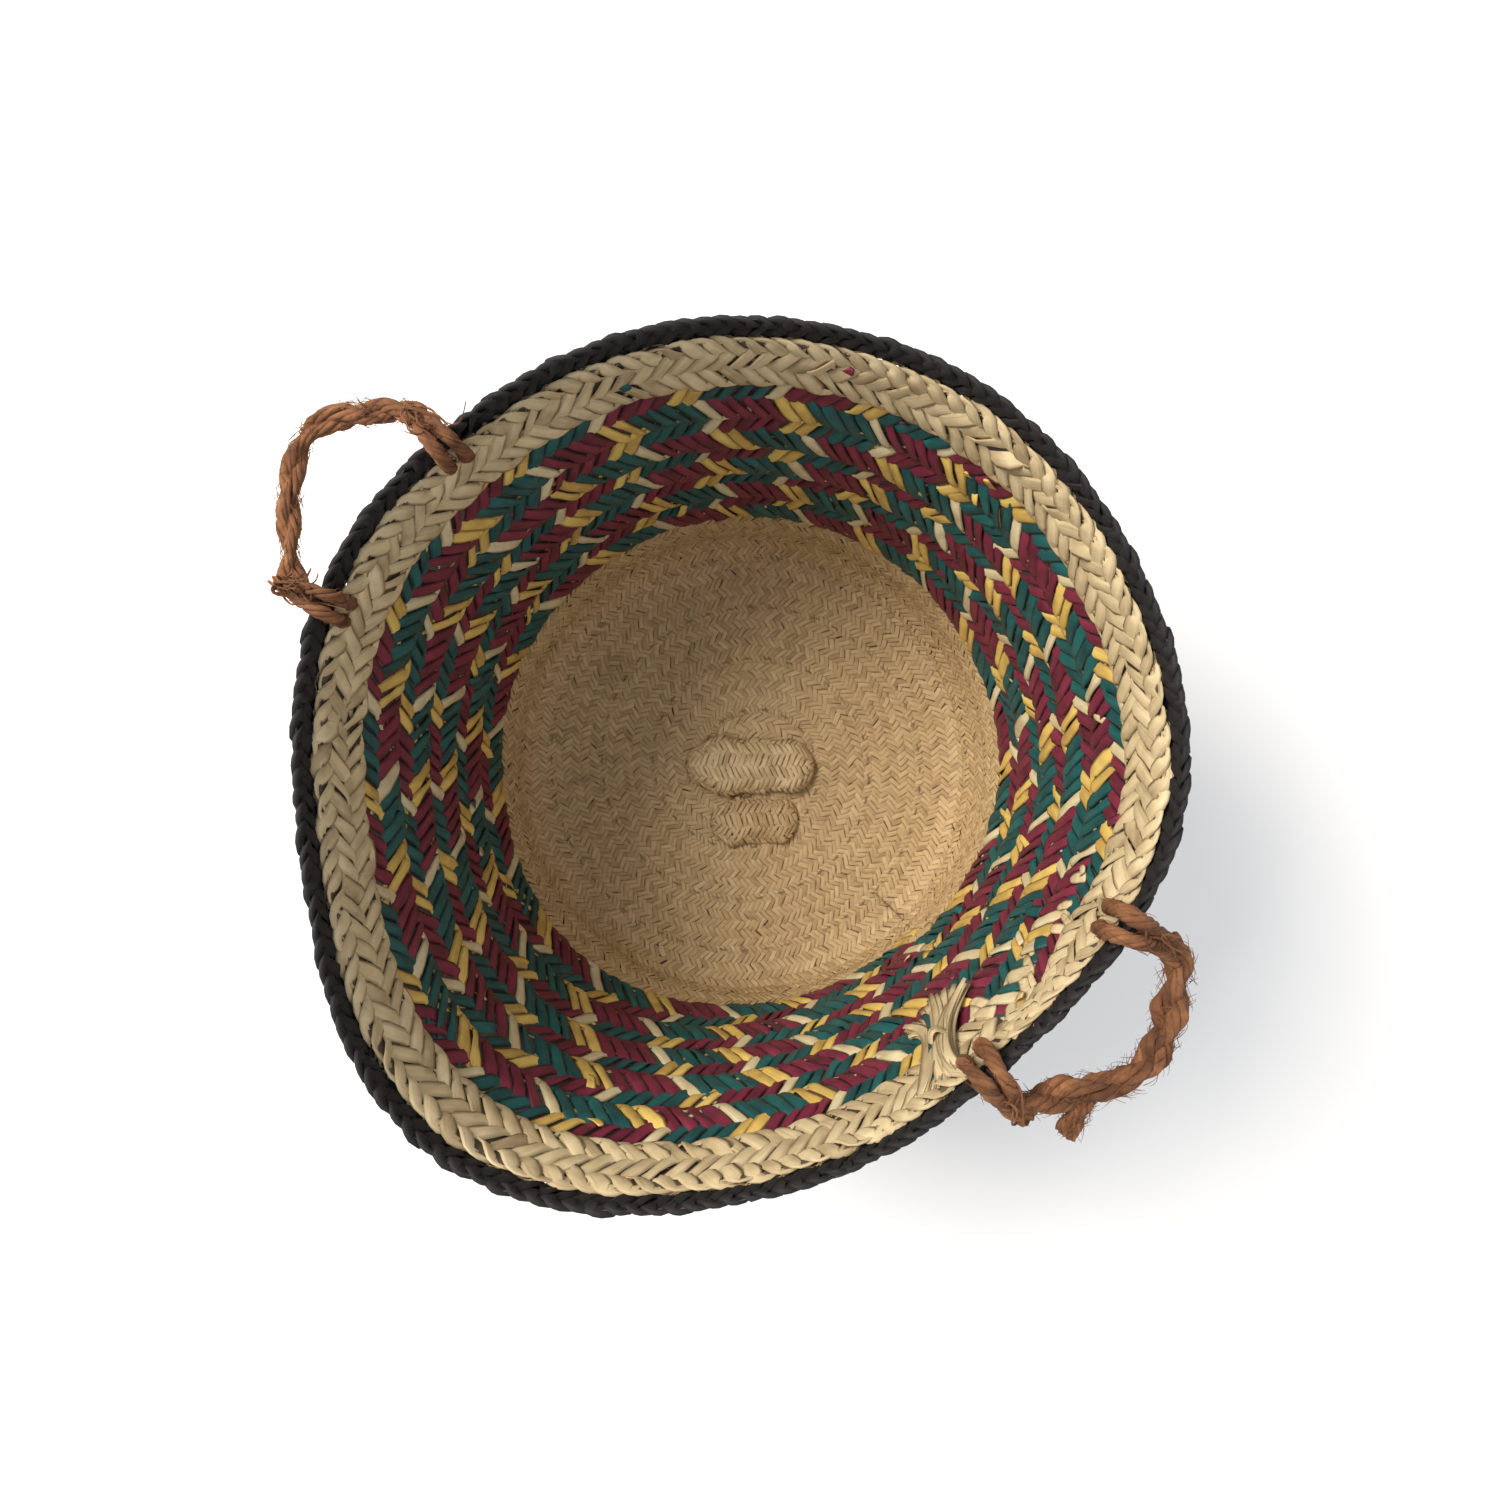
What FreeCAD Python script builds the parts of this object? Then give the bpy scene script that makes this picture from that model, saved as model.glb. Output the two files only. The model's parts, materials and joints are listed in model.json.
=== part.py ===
import FreeCAD, Part
import math
import os

import Sketcher
from FreeCAD import Placement, Rotation, Vector

# Deep plaited palm-leaf basket with two rope handles.
# One flat plaited strip winds out from a folded start in the middle of the floor, turns up at
# the corner and climbs the wall; each turn is laced to the one before it by a leaf cord that
# runs in the seam. A black strip closes the mouth. Each handle is a rope bow that swings on
# two rope eyes, which go through the top band and over the rim.
# Millimetres, +Z up, origin at the middle of the underside.

SIZES = [
    # wall and floor
    ("rim_radius", 206.4, "middle of the wall at the mouth, mean"),
    ("base_radius", 178.0, "middle of the wall where the corner ends, mean"),
    ("corner_radius", 28.0, "middle of the plait, floor to wall"),
    ("wall_thickness", 4.0, "plait"),
    ("floor_turn_width", 38.0, "each natural turn of the floor"),
    ("natural_turn_width", 48.0, "natural turn that starts the wall"),
    ("coloured_turn_width", 41.0, "each coloured turn"),
    ("top_band_width", 39.0, "coarse natural band under the rim"),
    ("rim_strip_width", 20.0, "black strip at the mouth"),
    ("seam_gap", 2.0, "between turns, filled by the lacing"),
    ("seam_cord_width", 2.4, "lacing, across the wall"),
    # the soft mouth isn't round: waves of its outline, each with the direction of a crest
    ("mouth_shift", 11.1, "mouth's middle moved sideways"),
    ("mouth_shift_angle", 172.0, "towards here, degrees"),
    ("mouth_oval", 9.4, "longer and shorter by this much"),
    ("mouth_oval_angle", 42.5, "direction of the long way, degrees"),
    ("mouth_three", 6.2, "three soft corners"),
    ("mouth_three_angle", -1.0, "direction of the first corner, degrees"),
    ("mouth_four", 2.7, "four soft corners"),
    ("mouth_four_angle", -27.7, "direction of the first corner, degrees"),
    ("mouth_five", 2.1, "five soft corners"),
    ("mouth_five_angle", 7.7, "direction of the first corner, degrees"),
    ("mouth_six", 1.6, "six soft corners"),
    ("mouth_six_angle", -12.8, "direction of the first corner, degrees"),
    # start of the spiral, folded up and sewn down on the floor
    ("fold_length", 103.0, "folded start, along X"),
    ("fold_width", 49.0, "folded start, along Y"),
    ("fold_height", 20.0, "folded start, above the floor"),
    ("fold_x", 1.6, "folded start, middle"),
    ("tuck_length", 70.0, "tucked end beside the fold, along X"),
    ("tuck_width", 40.0, "tucked end, along Y"),
    ("tuck_height", 11.0, "tucked end, above the floor"),
    ("tuck_x", 5.0, "tucked end, middle"),
    # bundle of leaf ends inside the wall
    ("tail_angle", -53.3, "direction of the leaf ends, degrees"),
    ("tail_width", 38.0, "around the wall"),
    ("tail_drop", 58.0, "where the leaf ends leave the wall, below the top of the rim"),
    ("tail_length", 88.0, "down the wall"),
    ("tail_thickness", 6.0, "into the basket"),
    ("tail_gap", 0.2, "leaf ends to wall"),
    # rope eyes through the top band and over the rim
    ("left_angle_a", 133.5, "first left eye, degrees"),
    ("left_angle_b", 159.0, "second left eye, degrees"),
    ("right_angle_a", -23.0, "first right eye, degrees"),
    ("right_angle_b", -52.0, "second right eye, degrees"),
    ("left_eye_diameter", 6.0, "rope of a left eye"),
    ("right_eye_diameter", 8.0, "rope of a right eye"),
    ("eye_below_rim", 6.0, "hole below the lower edge of the rim strip"),
    ("eye_clearance", 1.0, "eye to hole"),
    # rope bows
    ("left_rope_diameter", 10.5, "left handle"),
    ("right_rope_diameter", 14.0, "right handle"),
    ("pivot_drop", 8.0, "hinge line below the top of the rim"),
    ("pivot_clearance", 0.6, "end of a bow to its eye"),
    ("droop", 10.0, "bows hang this much below level at rest, degrees"),
    ("stub_length", 19.0, "loose rope end on the right handle"),
    ("stub_diameter", 9.0, "loose rope end on the right handle"),
]
# Sizes that follow from the others, in the same sheet.
DERIVED = [
    ("corner_top", "corner_radius + wall_thickness / 2", "where the corner ends"),
    (
        "basket_height",
        "corner_top + natural_turn_width + 5 * coloured_turn_width + top_band_width"
        " + rim_strip_width",
        "top of the rim",
    ),
    ("tail_high", "basket_height - tail_drop", "where the leaf ends leave the wall"),
    ("tail_low", "tail_high - tail_length", "lowest leaf end"),
    ("eye_drop", "rim_strip_width + eye_below_rim", "hole below the top of the rim"),
    (
        "eye_lean",
        "(rim_radius - base_radius) * eye_drop / 2 / (basket_height - corner_top)",
        "how far the wall leans in half the height of an eye",
    ),
    (
        "eye_inside",
        "(wall_thickness / 2 + eye_lean) / 0.6",
        "half the width inside an eye; the rim's corners are 0.6 of it out, 0.78 of it up",
    ),
    ("eye_rise", "eye_drop - 0.78 * eye_inside", "middle of an eye's upper bend above its hole"),
]
FLOOR_TURNS = 3
COLOURED_TURNS = 5
OUTLINE_POINTS = 24
MOUTH_WAVES = ["shift", "oval", "three", "four", "five", "six"]
FOLD_ROUNDNESS = 0.84  # corner radius, share of half the width
TUCK_ROUNDNESS = 0.8
MOUND_FILLET = 0.6  # share of the height
HOLE_LENGTH = 40.0  # of the tool that cuts a hole for an eye

# Routes of the two bows, in the plane of each: along the hinge line, and out from it.
# The ends are left out, because they lie at the eyes.
LEFT_ROUTE = [(-40, 21), (-28, 36), (-14, 43), (2, 39), (18, 29), (33, 16), (44, 6)]
RIGHT_ROUTE = [(-44, 16), (-31, 26), (-15, 34), (2, 36), (17, 27), (31, 15), (44, 7)]
FIRST_RUN = 10.0  # straight out of the first eye
STUB_AT = (27.0, 27.0)  # where the loose end leaves the right bow
STUB_DIRECTION = 24.0  # degrees from the hinge line

doc = FreeCAD.newDocument("plaited_basket")
sheet = doc.addObject("Spreadsheet::Sheet", "Sizes")
for row, (name, value, note) in enumerate(SIZES, start=1):
    sheet.set(f"A{row}", name)
    sheet.set(f"B{row}", str(value))
    sheet.setAlias(f"B{row}", name)
    sheet.set(f"C{row}", note)
for row, (name, formula, note) in enumerate(DERIVED, start=len(SIZES) + 2):
    sheet.set(f"A{row}", name)
    sheet.set(f"B{row}", f"={formula}")
    sheet.setAlias(f"B{row}", name)
    sheet.set(f"C{row}", note)
    doc.recompute()

parts = []


def size(name):
    """A driving dimension, as a number."""
    return float(sheet.get(name))


def cell(name):
    """A driving dimension, as it is written in an expression."""
    return f"<<Sizes>>.{name}"


def plane(body, role):
    """One of a body's own origin planes."""
    return next(f for f in body.Origin.OriginFeatures if f.Role == role)


def new_body(label):
    """A sub-part made as a PartDesign body."""
    body = doc.addObject("PartDesign::Body", label)
    body.Label = label
    parts.append(body)
    return body


def new_sketch(body, name, role="XY_Plane", level=None):
    """A sketch on one of the body's origin planes, lifted to a level if one is given."""
    sketch = body.newObject("Sketcher::SketchObject", name)
    sketch.AttachmentSupport = [(plane(body, role), "")]
    sketch.MapMode = "FlatFace"
    if level:
        sketch.setExpression("AttachmentOffset.Base.z", level)
        doc.recompute()
    return sketch


def bind(sketch, constraint, expression):
    """Add a driving constraint and tie its value to the sheet."""
    index = sketch.addConstraint(constraint)
    sketch.setExpression(f"Constraints[{index}]", expression)


# ---------------------------------------------------------------- levels and outline

HALF_WALL = cell("wall_thickness") + " / 2"
WALL_COURSES = (
    [("natural_wall_turn", "natural_turn_width")]
    + [(f"coloured_turn_{n}", "coloured_turn_width") for n in range(1, COLOURED_TURNS + 1)]
    + [("top_band", "top_band_width"), ("rim_strip", "rim_strip_width")]
)


def wall_radius(angle, height):
    """Middle of the wall in one direction (radians) at one height."""
    low, high = size("corner_top"), size("basket_height")
    share = max(0.0, (height - low) / (high - low))
    bend = 0.0
    for waves, name in enumerate(MOUTH_WAVES, start=1):
        crest = math.radians(size(f"mouth_{name}_angle"))
        bend += size(f"mouth_{name}") * math.cos(waves * (angle - crest))
    mean = size("base_radius") + (size("rim_radius") - size("base_radius")) * share
    return mean + bend * math.sqrt(share)


def outline(height, offset):
    """Closed curve round the basket at one height, offset from the middle of the wall."""
    points = []
    for step in range(OUTLINE_POINTS):
        angle = 2 * math.pi * step / OUTLINE_POINTS
        radius = wall_radius(angle, height) + offset
        points.append(Vector(radius * math.cos(angle), radius * math.sin(angle), 0))
    curve = Part.BSplineCurve()
    curve.interpolate(points, PeriodicFlag=True)
    return curve


def ring(body, low, high, outer, inner):
    """Loft between two levels, given as expressions, with an outer and an inner outline."""
    sketches = []
    for name, level in (("lower_edge", low), ("upper_edge", high)):
        sketch = new_sketch(body, f"{body.Label}_{name}", level=level)
        for offset in (outer, inner):
            sketch.addGeometry(outline(sketch.AttachmentOffset.Base.z, offset))
        sketches.append(sketch)
    loft = body.newObject("PartDesign::AdditiveLoft", f"{body.Label}_loft")
    loft.Profile = sketches[0]
    loft.Sections = sketches[1:]
    loft.Ruled = True
    return loft


# ---------------------------------------------------------------- floor


def floor_ring(label, outer, inner=None, low="0 mm", height=cell("wall_thickness")):
    """Flat disc or ring; radii, lower face and height are expressions."""
    body = new_body(label)
    sketch = new_sketch(body, f"{label}_plan", level=low)
    for radius in (outer, inner):
        if radius:
            circle = sketch.addGeometry(Part.Circle(Vector(), Vector(0, 0, 1), 50))
            sketch.addConstraint(Sketcher.Constraint("Coincident", circle, 3, -1, 1))
            bind(sketch, Sketcher.Constraint("Radius", circle, 50), radius)
            doc.recompute()
    pad = body.newObject("PartDesign::Pad", f"{label}_pad")
    pad.Profile = sketch
    pad.setExpression("Length", height)


def floor_edge(turns_left):
    """Outer radius of a floor turn, counted back from the corner, as an expression."""
    flat = f"{cell('base_radius')} - {cell('corner_radius')} - {cell('seam_gap')}"
    return f"{flat} - {turns_left} * {cell('floor_turn_width')}"


def seam_label(number):
    """Name of the lacing in one seam, counted from the middle of the floor."""
    return f"seam_cord_{number:02d}"


floor_ring("floor_centre", floor_edge(FLOOR_TURNS))
for number in range(1, FLOOR_TURNS + 2):
    inner_turn = floor_edge(FLOOR_TURNS + 1 - number)
    lacing_edge = f"{inner_turn} + {cell('seam_gap')}"
    if number <= FLOOR_TURNS:
        floor_ring(f"floor_turn_{number}", floor_edge(FLOOR_TURNS - number), lacing_edge)
    floor_ring(
        seam_label(number),
        lacing_edge,
        inner_turn,
        f"({cell('wall_thickness')} - {cell('seam_cord_width')}) / 2",
        cell("seam_cord_width"),
    )


def corner_turn():
    """Turn of the strip that bends up from the floor into the wall."""
    body = new_body("corner_turn")
    sketch = new_sketch(body, "corner_section", "XZ_Plane")
    flat = size("base_radius") - size("corner_radius")
    middle = Vector(flat, size("corner_top"), 0)
    half = size("wall_thickness") / 2
    arcs = []
    for radius in (size("corner_radius") + half, size("corner_radius") - half):
        circle = Part.Circle(middle, Vector(0, 0, 1), radius)
        arcs.append(sketch.addGeometry(Part.ArcOfCircle(circle, 1.5 * math.pi, 2 * math.pi)))
    outer, inner = arcs
    ends = []
    for angle in (1.5 * math.pi, 2 * math.pi):
        way = Vector(math.cos(angle), math.sin(angle), 0)
        from_point = middle + way * (size("corner_radius") + half)
        to_point = middle + way * (size("corner_radius") - half)
        ends.append(sketch.addGeometry(Part.LineSegment(from_point, to_point)))
    floor_end, wall_end = ends
    for constraint in (
        ("Coincident", outer, 3, inner, 3),
        ("Coincident", floor_end, 1, outer, 1),
        ("Coincident", floor_end, 2, inner, 1),
        ("Coincident", wall_end, 1, outer, 2),
        ("Coincident", wall_end, 2, inner, 2),
        ("Vertical", floor_end),
        ("Horizontal", wall_end),
    ):
        sketch.addConstraint(Sketcher.Constraint(*constraint))
    radius = cell("corner_radius")
    bind(
        sketch,
        Sketcher.Constraint("Radius", outer, size("corner_radius") + half),
        f"{radius} + {HALF_WALL}",
    )
    bind(sketch, Sketcher.Constraint("Distance", wall_end, 2 * half), cell("wall_thickness"))
    bind(
        sketch,
        Sketcher.Constraint("DistanceX", -1, 1, outer, 3, flat),
        f"{cell('base_radius')} - {radius}",
    )
    bind(
        sketch,
        Sketcher.Constraint("DistanceY", -1, 1, outer, 3, size("corner_top")),
        f"{radius} + {HALF_WALL}",
    )
    turn = body.newObject("PartDesign::Revolution", "corner_revolution")
    turn.Profile = sketch
    turn.ReferenceAxis = (sketch, ["V_Axis"])
    turn.Angle = 360


corner_turn()

# ---------------------------------------------------------------- wall

half_wall = size("wall_thickness") / 2
half_cord = size("seam_cord_width") / 2
level = cell("corner_top")
for number, (label, width) in enumerate(WALL_COURSES, start=FLOOR_TURNS + 2):
    lacing_top = f"{level} + {cell('seam_gap')}"
    ring(new_body(seam_label(number)), level, lacing_top, half_cord, -half_cord)
    level = f"{level} + {cell(width)}"
    ring(new_body(label), lacing_top, level, half_wall, -half_wall)

# ---------------------------------------------------------------- folded start on the floor


def mound(label, length, width, height, x_name, y, round_share):
    """Soft-edged pad of folded plait on the floor; sizes are names in the sheet."""
    x = size(x_name)
    body = new_body(label)
    sketch = new_sketch(body, f"{label}_plan", level=cell("wall_thickness"))
    corner = size(width) / 2 * round_share
    reach_x, reach_y = size(length) / 2, size(width) / 2
    centres = [
        (reach_x - corner, reach_y - corner, 0),
        (corner - reach_x, reach_y - corner, 90),
        (corner - reach_x, corner - reach_y, 180),
        (reach_x - corner, corner - reach_y, 270),
    ]
    arcs = []
    for centre_x, centre_y, start in centres:
        circle = Part.Circle(Vector(x + centre_x, y + centre_y, 0), Vector(0, 0, 1), corner)
        angles = math.radians(start), math.radians(start + 90)
        arcs.append(sketch.addGeometry(Part.ArcOfCircle(circle, *angles)))
    lines = []
    for now, following in zip(arcs, arcs[1:] + arcs[:1]):
        ends = sketch.getPoint(now, 2), sketch.getPoint(following, 1)
        line = sketch.addGeometry(Part.LineSegment(*ends))
        sketch.addConstraint(Sketcher.Constraint("Tangent", now, 2, line, 1))
        sketch.addConstraint(Sketcher.Constraint("Tangent", line, 2, following, 1))
        lines.append(line)
    for arc in arcs[1:]:
        sketch.addConstraint(Sketcher.Constraint("Equal", arcs[0], arc))
    sketch.addConstraint(Sketcher.Constraint("Horizontal", lines[0]))
    sketch.addConstraint(Sketcher.Constraint("Vertical", lines[1]))
    half_share = round_share / 2
    bind(
        sketch,
        Sketcher.Constraint("Radius", arcs[0], corner),
        f"{cell(width)} * {half_share}",
    )
    bind(
        sketch,
        Sketcher.Constraint("Distance", lines[0], size(length) - 2 * corner),
        f"{cell(length)} - {cell(width)} * {round_share}",
    )
    bind(
        sketch,
        Sketcher.Constraint("Distance", lines[1], size(width) - 2 * corner),
        f"{cell(width)} * {1 - round_share}",
    )
    sketch.addConstraint(Sketcher.Constraint("DistanceX", -1, 1, arcs[0], 3, x + centres[0][0]))
    sketch.addConstraint(Sketcher.Constraint("DistanceY", -1, 1, arcs[0], 3, y + centres[0][1]))
    pad = body.newObject("PartDesign::Pad", f"{label}_pad")
    pad.Profile = sketch
    pad.setExpression("Length", cell(height))
    doc.recompute()
    top_edges = []
    for index, edge in enumerate(pad.Shape.Edges, start=1):
        if edge.BoundBox.ZMin > pad.Shape.BoundBox.ZMax - 0.01:
            top_edges.append(f"Edge{index}")
    fillet = body.newObject("PartDesign::Fillet", f"{label}_fillet")
    fillet.Base = (pad, top_edges)
    fillet.setExpression("Radius", f"{cell(height)} * {MOUND_FILLET}")


mound(
    "starting_fold", "fold_length", "fold_width", "fold_height", "fold_x", 0.0, FOLD_ROUNDNESS
)
tuck_y = -(size("fold_width") + size("tuck_width")) / 2
mound(
    "starting_tuck", "tuck_length", "tuck_width", "tuck_height", "tuck_x", tuck_y, TUCK_ROUNDNESS
)

# ---------------------------------------------------------------- leaf ends inside the wall


def leaf_tail():
    """Bundle of loose leaf ends that lies flat against the inside of the wall."""
    shell = doc.addObject("PartDesign::Body", "leaf_tail_shell")
    inside = -size("wall_thickness") / 2 - size("tail_gap")
    ring(shell, cell("tail_low"), cell("tail_high"), inside, inside - size("tail_thickness"))
    block = doc.addObject("Part::Box", "leaf_tail_block")
    block.setExpression("Length", cell("rim_radius") + " * 2")
    block.setExpression("Width", cell("tail_width"))
    block.setExpression("Height", f"{cell('tail_high')} - {cell('tail_low')}")
    turn = Rotation(Vector(0, 0, 1), size("tail_angle"))
    start = turn.multVec(Vector(0, -size("tail_width") / 2, 0))
    block.Placement = Placement(start + Vector(0, 0, size("tail_low")), turn)
    bundle = doc.addObject("Part::Common", "leaf_tail")
    bundle.Base = shell
    bundle.Tool = block
    parts.append(bundle)


leaf_tail()

# ---------------------------------------------------------------- rope eyes

HANDLES = {
    "left": ("left_angle_a", "left_angle_b"),
    "right": ("right_angle_a", "right_angle_b"),
}
eye_height = size("basket_height") - size("eye_drop")


def eye_reach(side):
    """Half the width of an eye, middle of the wall to middle of the eye's rope."""
    return size("eye_inside") + size(f"{side}_eye_diameter") / 2


def eye_spot(angle_name):
    """Direction (radians) of an eye, and the middle of the wall there."""
    angle = math.radians(size(angle_name))
    return angle, wall_radius(angle, size("basket_height") - size("eye_drop") / 2)


def eye(label, side, angle_name):
    """Closed rope eye: in through the hole, up inside the wall and down over the rim."""
    body = new_body(label)
    reach = eye_reach(side)
    rope = size(f"{side}_eye_diameter") / 2
    top = size("eye_rise")
    low = reach
    path = new_sketch(body, f"{label}_path", "XZ_Plane")
    upper = Part.Circle(Vector(0, top, 0), Vector(0, 0, 1), reach)
    lower = Part.Circle(Vector(0, low, 0), Vector(0, 0, 1), reach)
    over_rim = path.addGeometry(Part.ArcOfCircle(upper, 0, math.pi))
    inside = path.addGeometry(Part.LineSegment(Vector(-reach, top, 0), Vector(-reach, low, 0)))
    through = path.addGeometry(Part.ArcOfCircle(lower, math.pi, 2 * math.pi))
    outside = path.addGeometry(Part.LineSegment(Vector(reach, low, 0), Vector(reach, top, 0)))
    chain = [over_rim, inside, through, outside]
    for now, following in zip(chain, chain[1:] + chain[:1]):
        path.addConstraint(Sketcher.Constraint("Tangent", now, 2, following, 1))
    path.addConstraint(Sketcher.Constraint("PointOnObject", over_rim, 3, -2))
    path.addConstraint(Sketcher.Constraint("PointOnObject", through, 3, -2))
    rope_cell = cell(f"{side}_eye_diameter")
    reach_text = f"{cell('eye_inside')} + {rope_cell} / 2"
    bind(path, Sketcher.Constraint("Radius", through, reach), reach_text)
    bind(path, Sketcher.Constraint("DistanceY", -1, 1, through, 3, low), reach_text)
    bind(path, Sketcher.Constraint("DistanceY", -1, 1, over_rim, 3, top), cell("eye_rise"))
    section = new_sketch(body, f"{label}_section", "XY_Plane", reach_text)
    circle = section.addGeometry(Part.Circle(Vector(reach, 0, 0), Vector(0, 0, 1), rope))
    section.addConstraint(Sketcher.Constraint("PointOnObject", circle, 3, -1))
    bind(section, Sketcher.Constraint("Radius", circle, rope), f"{rope_cell} / 2")
    bind(section, Sketcher.Constraint("DistanceX", -1, 1, circle, 3, reach), reach_text)
    pipe = body.newObject("PartDesign::AdditivePipe", f"{label}_pipe")
    pipe.Profile = section
    pipe.Spine = (path, [])
    angle, radius = eye_spot(angle_name)
    at = Vector(radius * math.cos(angle), radius * math.sin(angle), eye_height)
    body.Placement = Placement(at, Rotation(Vector(0, 0, 1), math.degrees(angle)))


def pierced(body, side_angles):
    """A wall course with a round hole for each eye, cut square to the wall."""
    holes = []
    for side, angle_name in side_angles:
        hole = doc.addObject("Part::Cylinder", f"{body.Label}_{angle_name}_hole")
        hole.setExpression(
            "Radius",
            f"{cell(side + '_eye_diameter')} / 2 + {cell('eye_clearance')}"
            f" + {cell('eye_lean')} / 4",
        )
        hole.Height = HOLE_LENGTH
        angle, radius = eye_spot(angle_name)
        start = radius - HOLE_LENGTH / 2
        at = Vector(start * math.cos(angle), start * math.sin(angle), eye_height)
        hole.Placement = Placement(at, Rotation(Vector(0, 0, 1), Vector(at.x, at.y, 0)))
        holes.append(hole)
    drill = doc.addObject("Part::MultiFuse", f"{body.Label}_holes")
    drill.Shapes = holes
    cut = doc.addObject("Part::Cut", f"{body.Label}_pierced")
    cut.Base = body
    cut.Tool = drill
    label = body.Label
    body.Label = f"{label}_whole"
    cut.Label = label
    parts[parts.index(body)] = cut


for side, angle_names in HANDLES.items():
    for letter, angle_name in zip("ab", angle_names):
        eye(f"{side}_eye_{letter}", side, angle_name)
all_eyes = [(side, name) for side, names in HANDLES.items() for name in names]
pierced(next(p for p in parts if p.Label == "top_band"), all_eyes)

# ---------------------------------------------------------------- rope bows


def pivots(side):
    """The two ends of a handle's hinge line."""
    gap = size("pivot_clearance") + size(f"{side}_rope_diameter") / 2
    out = eye_reach(side) + size(f"{side}_eye_diameter") / 2 + gap
    ends = []
    for angle_name in HANDLES[side]:
        angle, radius = eye_spot(angle_name)
        radius += out
        height = size("basket_height") - size("pivot_drop")
        ends.append(Vector(radius * math.cos(angle), radius * math.sin(angle), height))
    return ends


def bow_frame(side):
    """Placement whose X runs along the hinge line and whose Y runs out along the bow."""
    start, end = pivots(side)
    along = (end - start).normalize()
    out = Vector(start.x + end.x, start.y + end.y, 0)
    out = (out - along * out.dot(along)).normalize()
    droop = math.radians(size("droop"))
    out = out * math.cos(droop) - Vector(0, 0, 1) * math.sin(droop)
    turn = Rotation(along, out, along.cross(out), "XYZ")
    return Placement((start + end) * 0.5, turn), (end - start).Length / 2


def rounded(points):
    """Straight runs joined by tangent arcs, each as large as its two runs allow."""
    edges = []
    radii = []
    last = points[0]
    for before, corner, after in zip(points, points[1:], points[2:]):
        back, ahead = before - corner, after - corner
        half_turn = (math.pi - back.getAngle(ahead)) / 2
        shorter = min(back.Length, ahead.Length)
        cut = 0.45 * shorter
        radii.append(cut / math.tan(half_turn))
        start = corner + back.normalize() * cut
        end = corner + ahead.normalize() * cut
        inward = (back + ahead).normalize()
        bulge = radii[-1] / math.cos(half_turn) - radii[-1]
        edges.append(Part.LineSegment(last, start))
        edges.append(Part.Arc(start, corner + inward * bulge, end))
        last = end
    edges.append(Part.LineSegment(last, points[-1]))
    return edges, radii


def bow(label, side, route):
    """Rope bow with a round end at each eye."""
    frame, reach = bow_frame(side)
    body = new_body(label)
    rope = size(f"{side}_rope_diameter") / 2
    points = [Vector(-reach, 0, 0), Vector(-reach, FIRST_RUN, 0)]
    points += [Vector(along, out, 0) for along, out in route]
    points.append(Vector(reach, 0, 0))
    edges, radii = rounded(points)
    path = new_sketch(body, f"{label}_path")
    for edge in edges:
        path.addGeometry(edge)
    section = new_sketch(body, f"{label}_section", "XZ_Plane")
    circle = section.addGeometry(Part.Circle(Vector(-reach, 0, 0), Vector(0, 0, 1), rope))
    bind(
        section,
        Sketcher.Constraint("Radius", circle, rope),
        f"{cell(side + '_rope_diameter')} / 2",
    )
    pipe = body.newObject("PartDesign::AdditivePipe", f"{label}_pipe")
    pipe.Profile = section
    pipe.Spine = (path, [])
    doc.recompute()
    for name, x in (("first", -reach), ("last", reach)):
        end = body.newObject("PartDesign::AdditiveSphere", f"{label}_{name}_end")
        end.AttachmentSupport = [(plane(body, "XY_Plane"), "")]
        end.MapMode = "FlatFace"
        end.AttachmentOffset = Placement(Vector(x, 0, 0), Rotation())
        end.setExpression("Radius", f"{cell(side + '_rope_diameter')} / 2")
    body.Placement = frame
    length = sum(edge.length() for edge in edges)
    volume = math.pi * rope**2 * length
    print(f"{label}: length {length:.1f}, tightest radius {min(radii):.1f}")
    print(f"{label}: section times length {volume:.0f}, tube {pipe.Shape.Volume:.0f}")
    return frame


bow("left_handle_rope", "left", LEFT_ROUTE)
right_frame = bow("right_handle_rope", "right", RIGHT_ROUTE)


def rope_stub(frame):
    """Loose end of the right rope, standing off the bow with a rounded tip."""
    tube = doc.addObject("Part::Cylinder", "stub_tube")
    tube.setExpression("Radius", f"{cell('stub_diameter')} / 2")
    tube.setExpression("Height", cell("stub_length"))
    tip = doc.addObject("Part::Sphere", "stub_tip")
    tip.setExpression("Radius", f"{cell('stub_diameter')} / 2")
    tip.setExpression("Placement.Base.z", cell("stub_length"))
    whole = doc.addObject("Part::Fuse", "stub_whole")
    whole.Base = tube
    whole.Tool = tip
    angle = math.radians(STUB_DIRECTION)
    lean = Rotation(Vector(0, 0, 1), Vector(math.cos(angle), math.sin(angle), 0))
    whole.Placement = frame.multiply(Placement(Vector(*STUB_AT, 0), lean))
    stub = doc.addObject("Part::Cut", "right_rope_end")
    stub.Base = whole
    stub.Tool = next(p for p in parts if p.Label == "right_handle_rope")
    parts.append(stub)


rope_stub(right_frame)

# ---------------------------------------------------------------- check and write

doc.recompute()
for item in doc.Objects:
    faults = {"Invalid", "Error"} & set(item.State)
    if faults:
        raise RuntimeError(f"{item.Label}: {sorted(faults)} {item.getStatusString()}")
for part in parts:
    shape = part.Shape
    if shape.isNull() or not shape.isValid() or len(shape.Solids) != 1:
        raise RuntimeError(f"{part.Label}: {len(shape.Solids)} solids, valid {shape.isValid()}")

os.makedirs("parts", exist_ok=True)
for part in parts:
    part.Shape.exportStep(f"parts/{part.Label}.step")
    print(f"{part.Label}: {part.Shape.Volume / 1000:.1f} cm3")
print(f"{len(parts)} sub-parts, height {size("basket_height"):.1f}")
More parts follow.
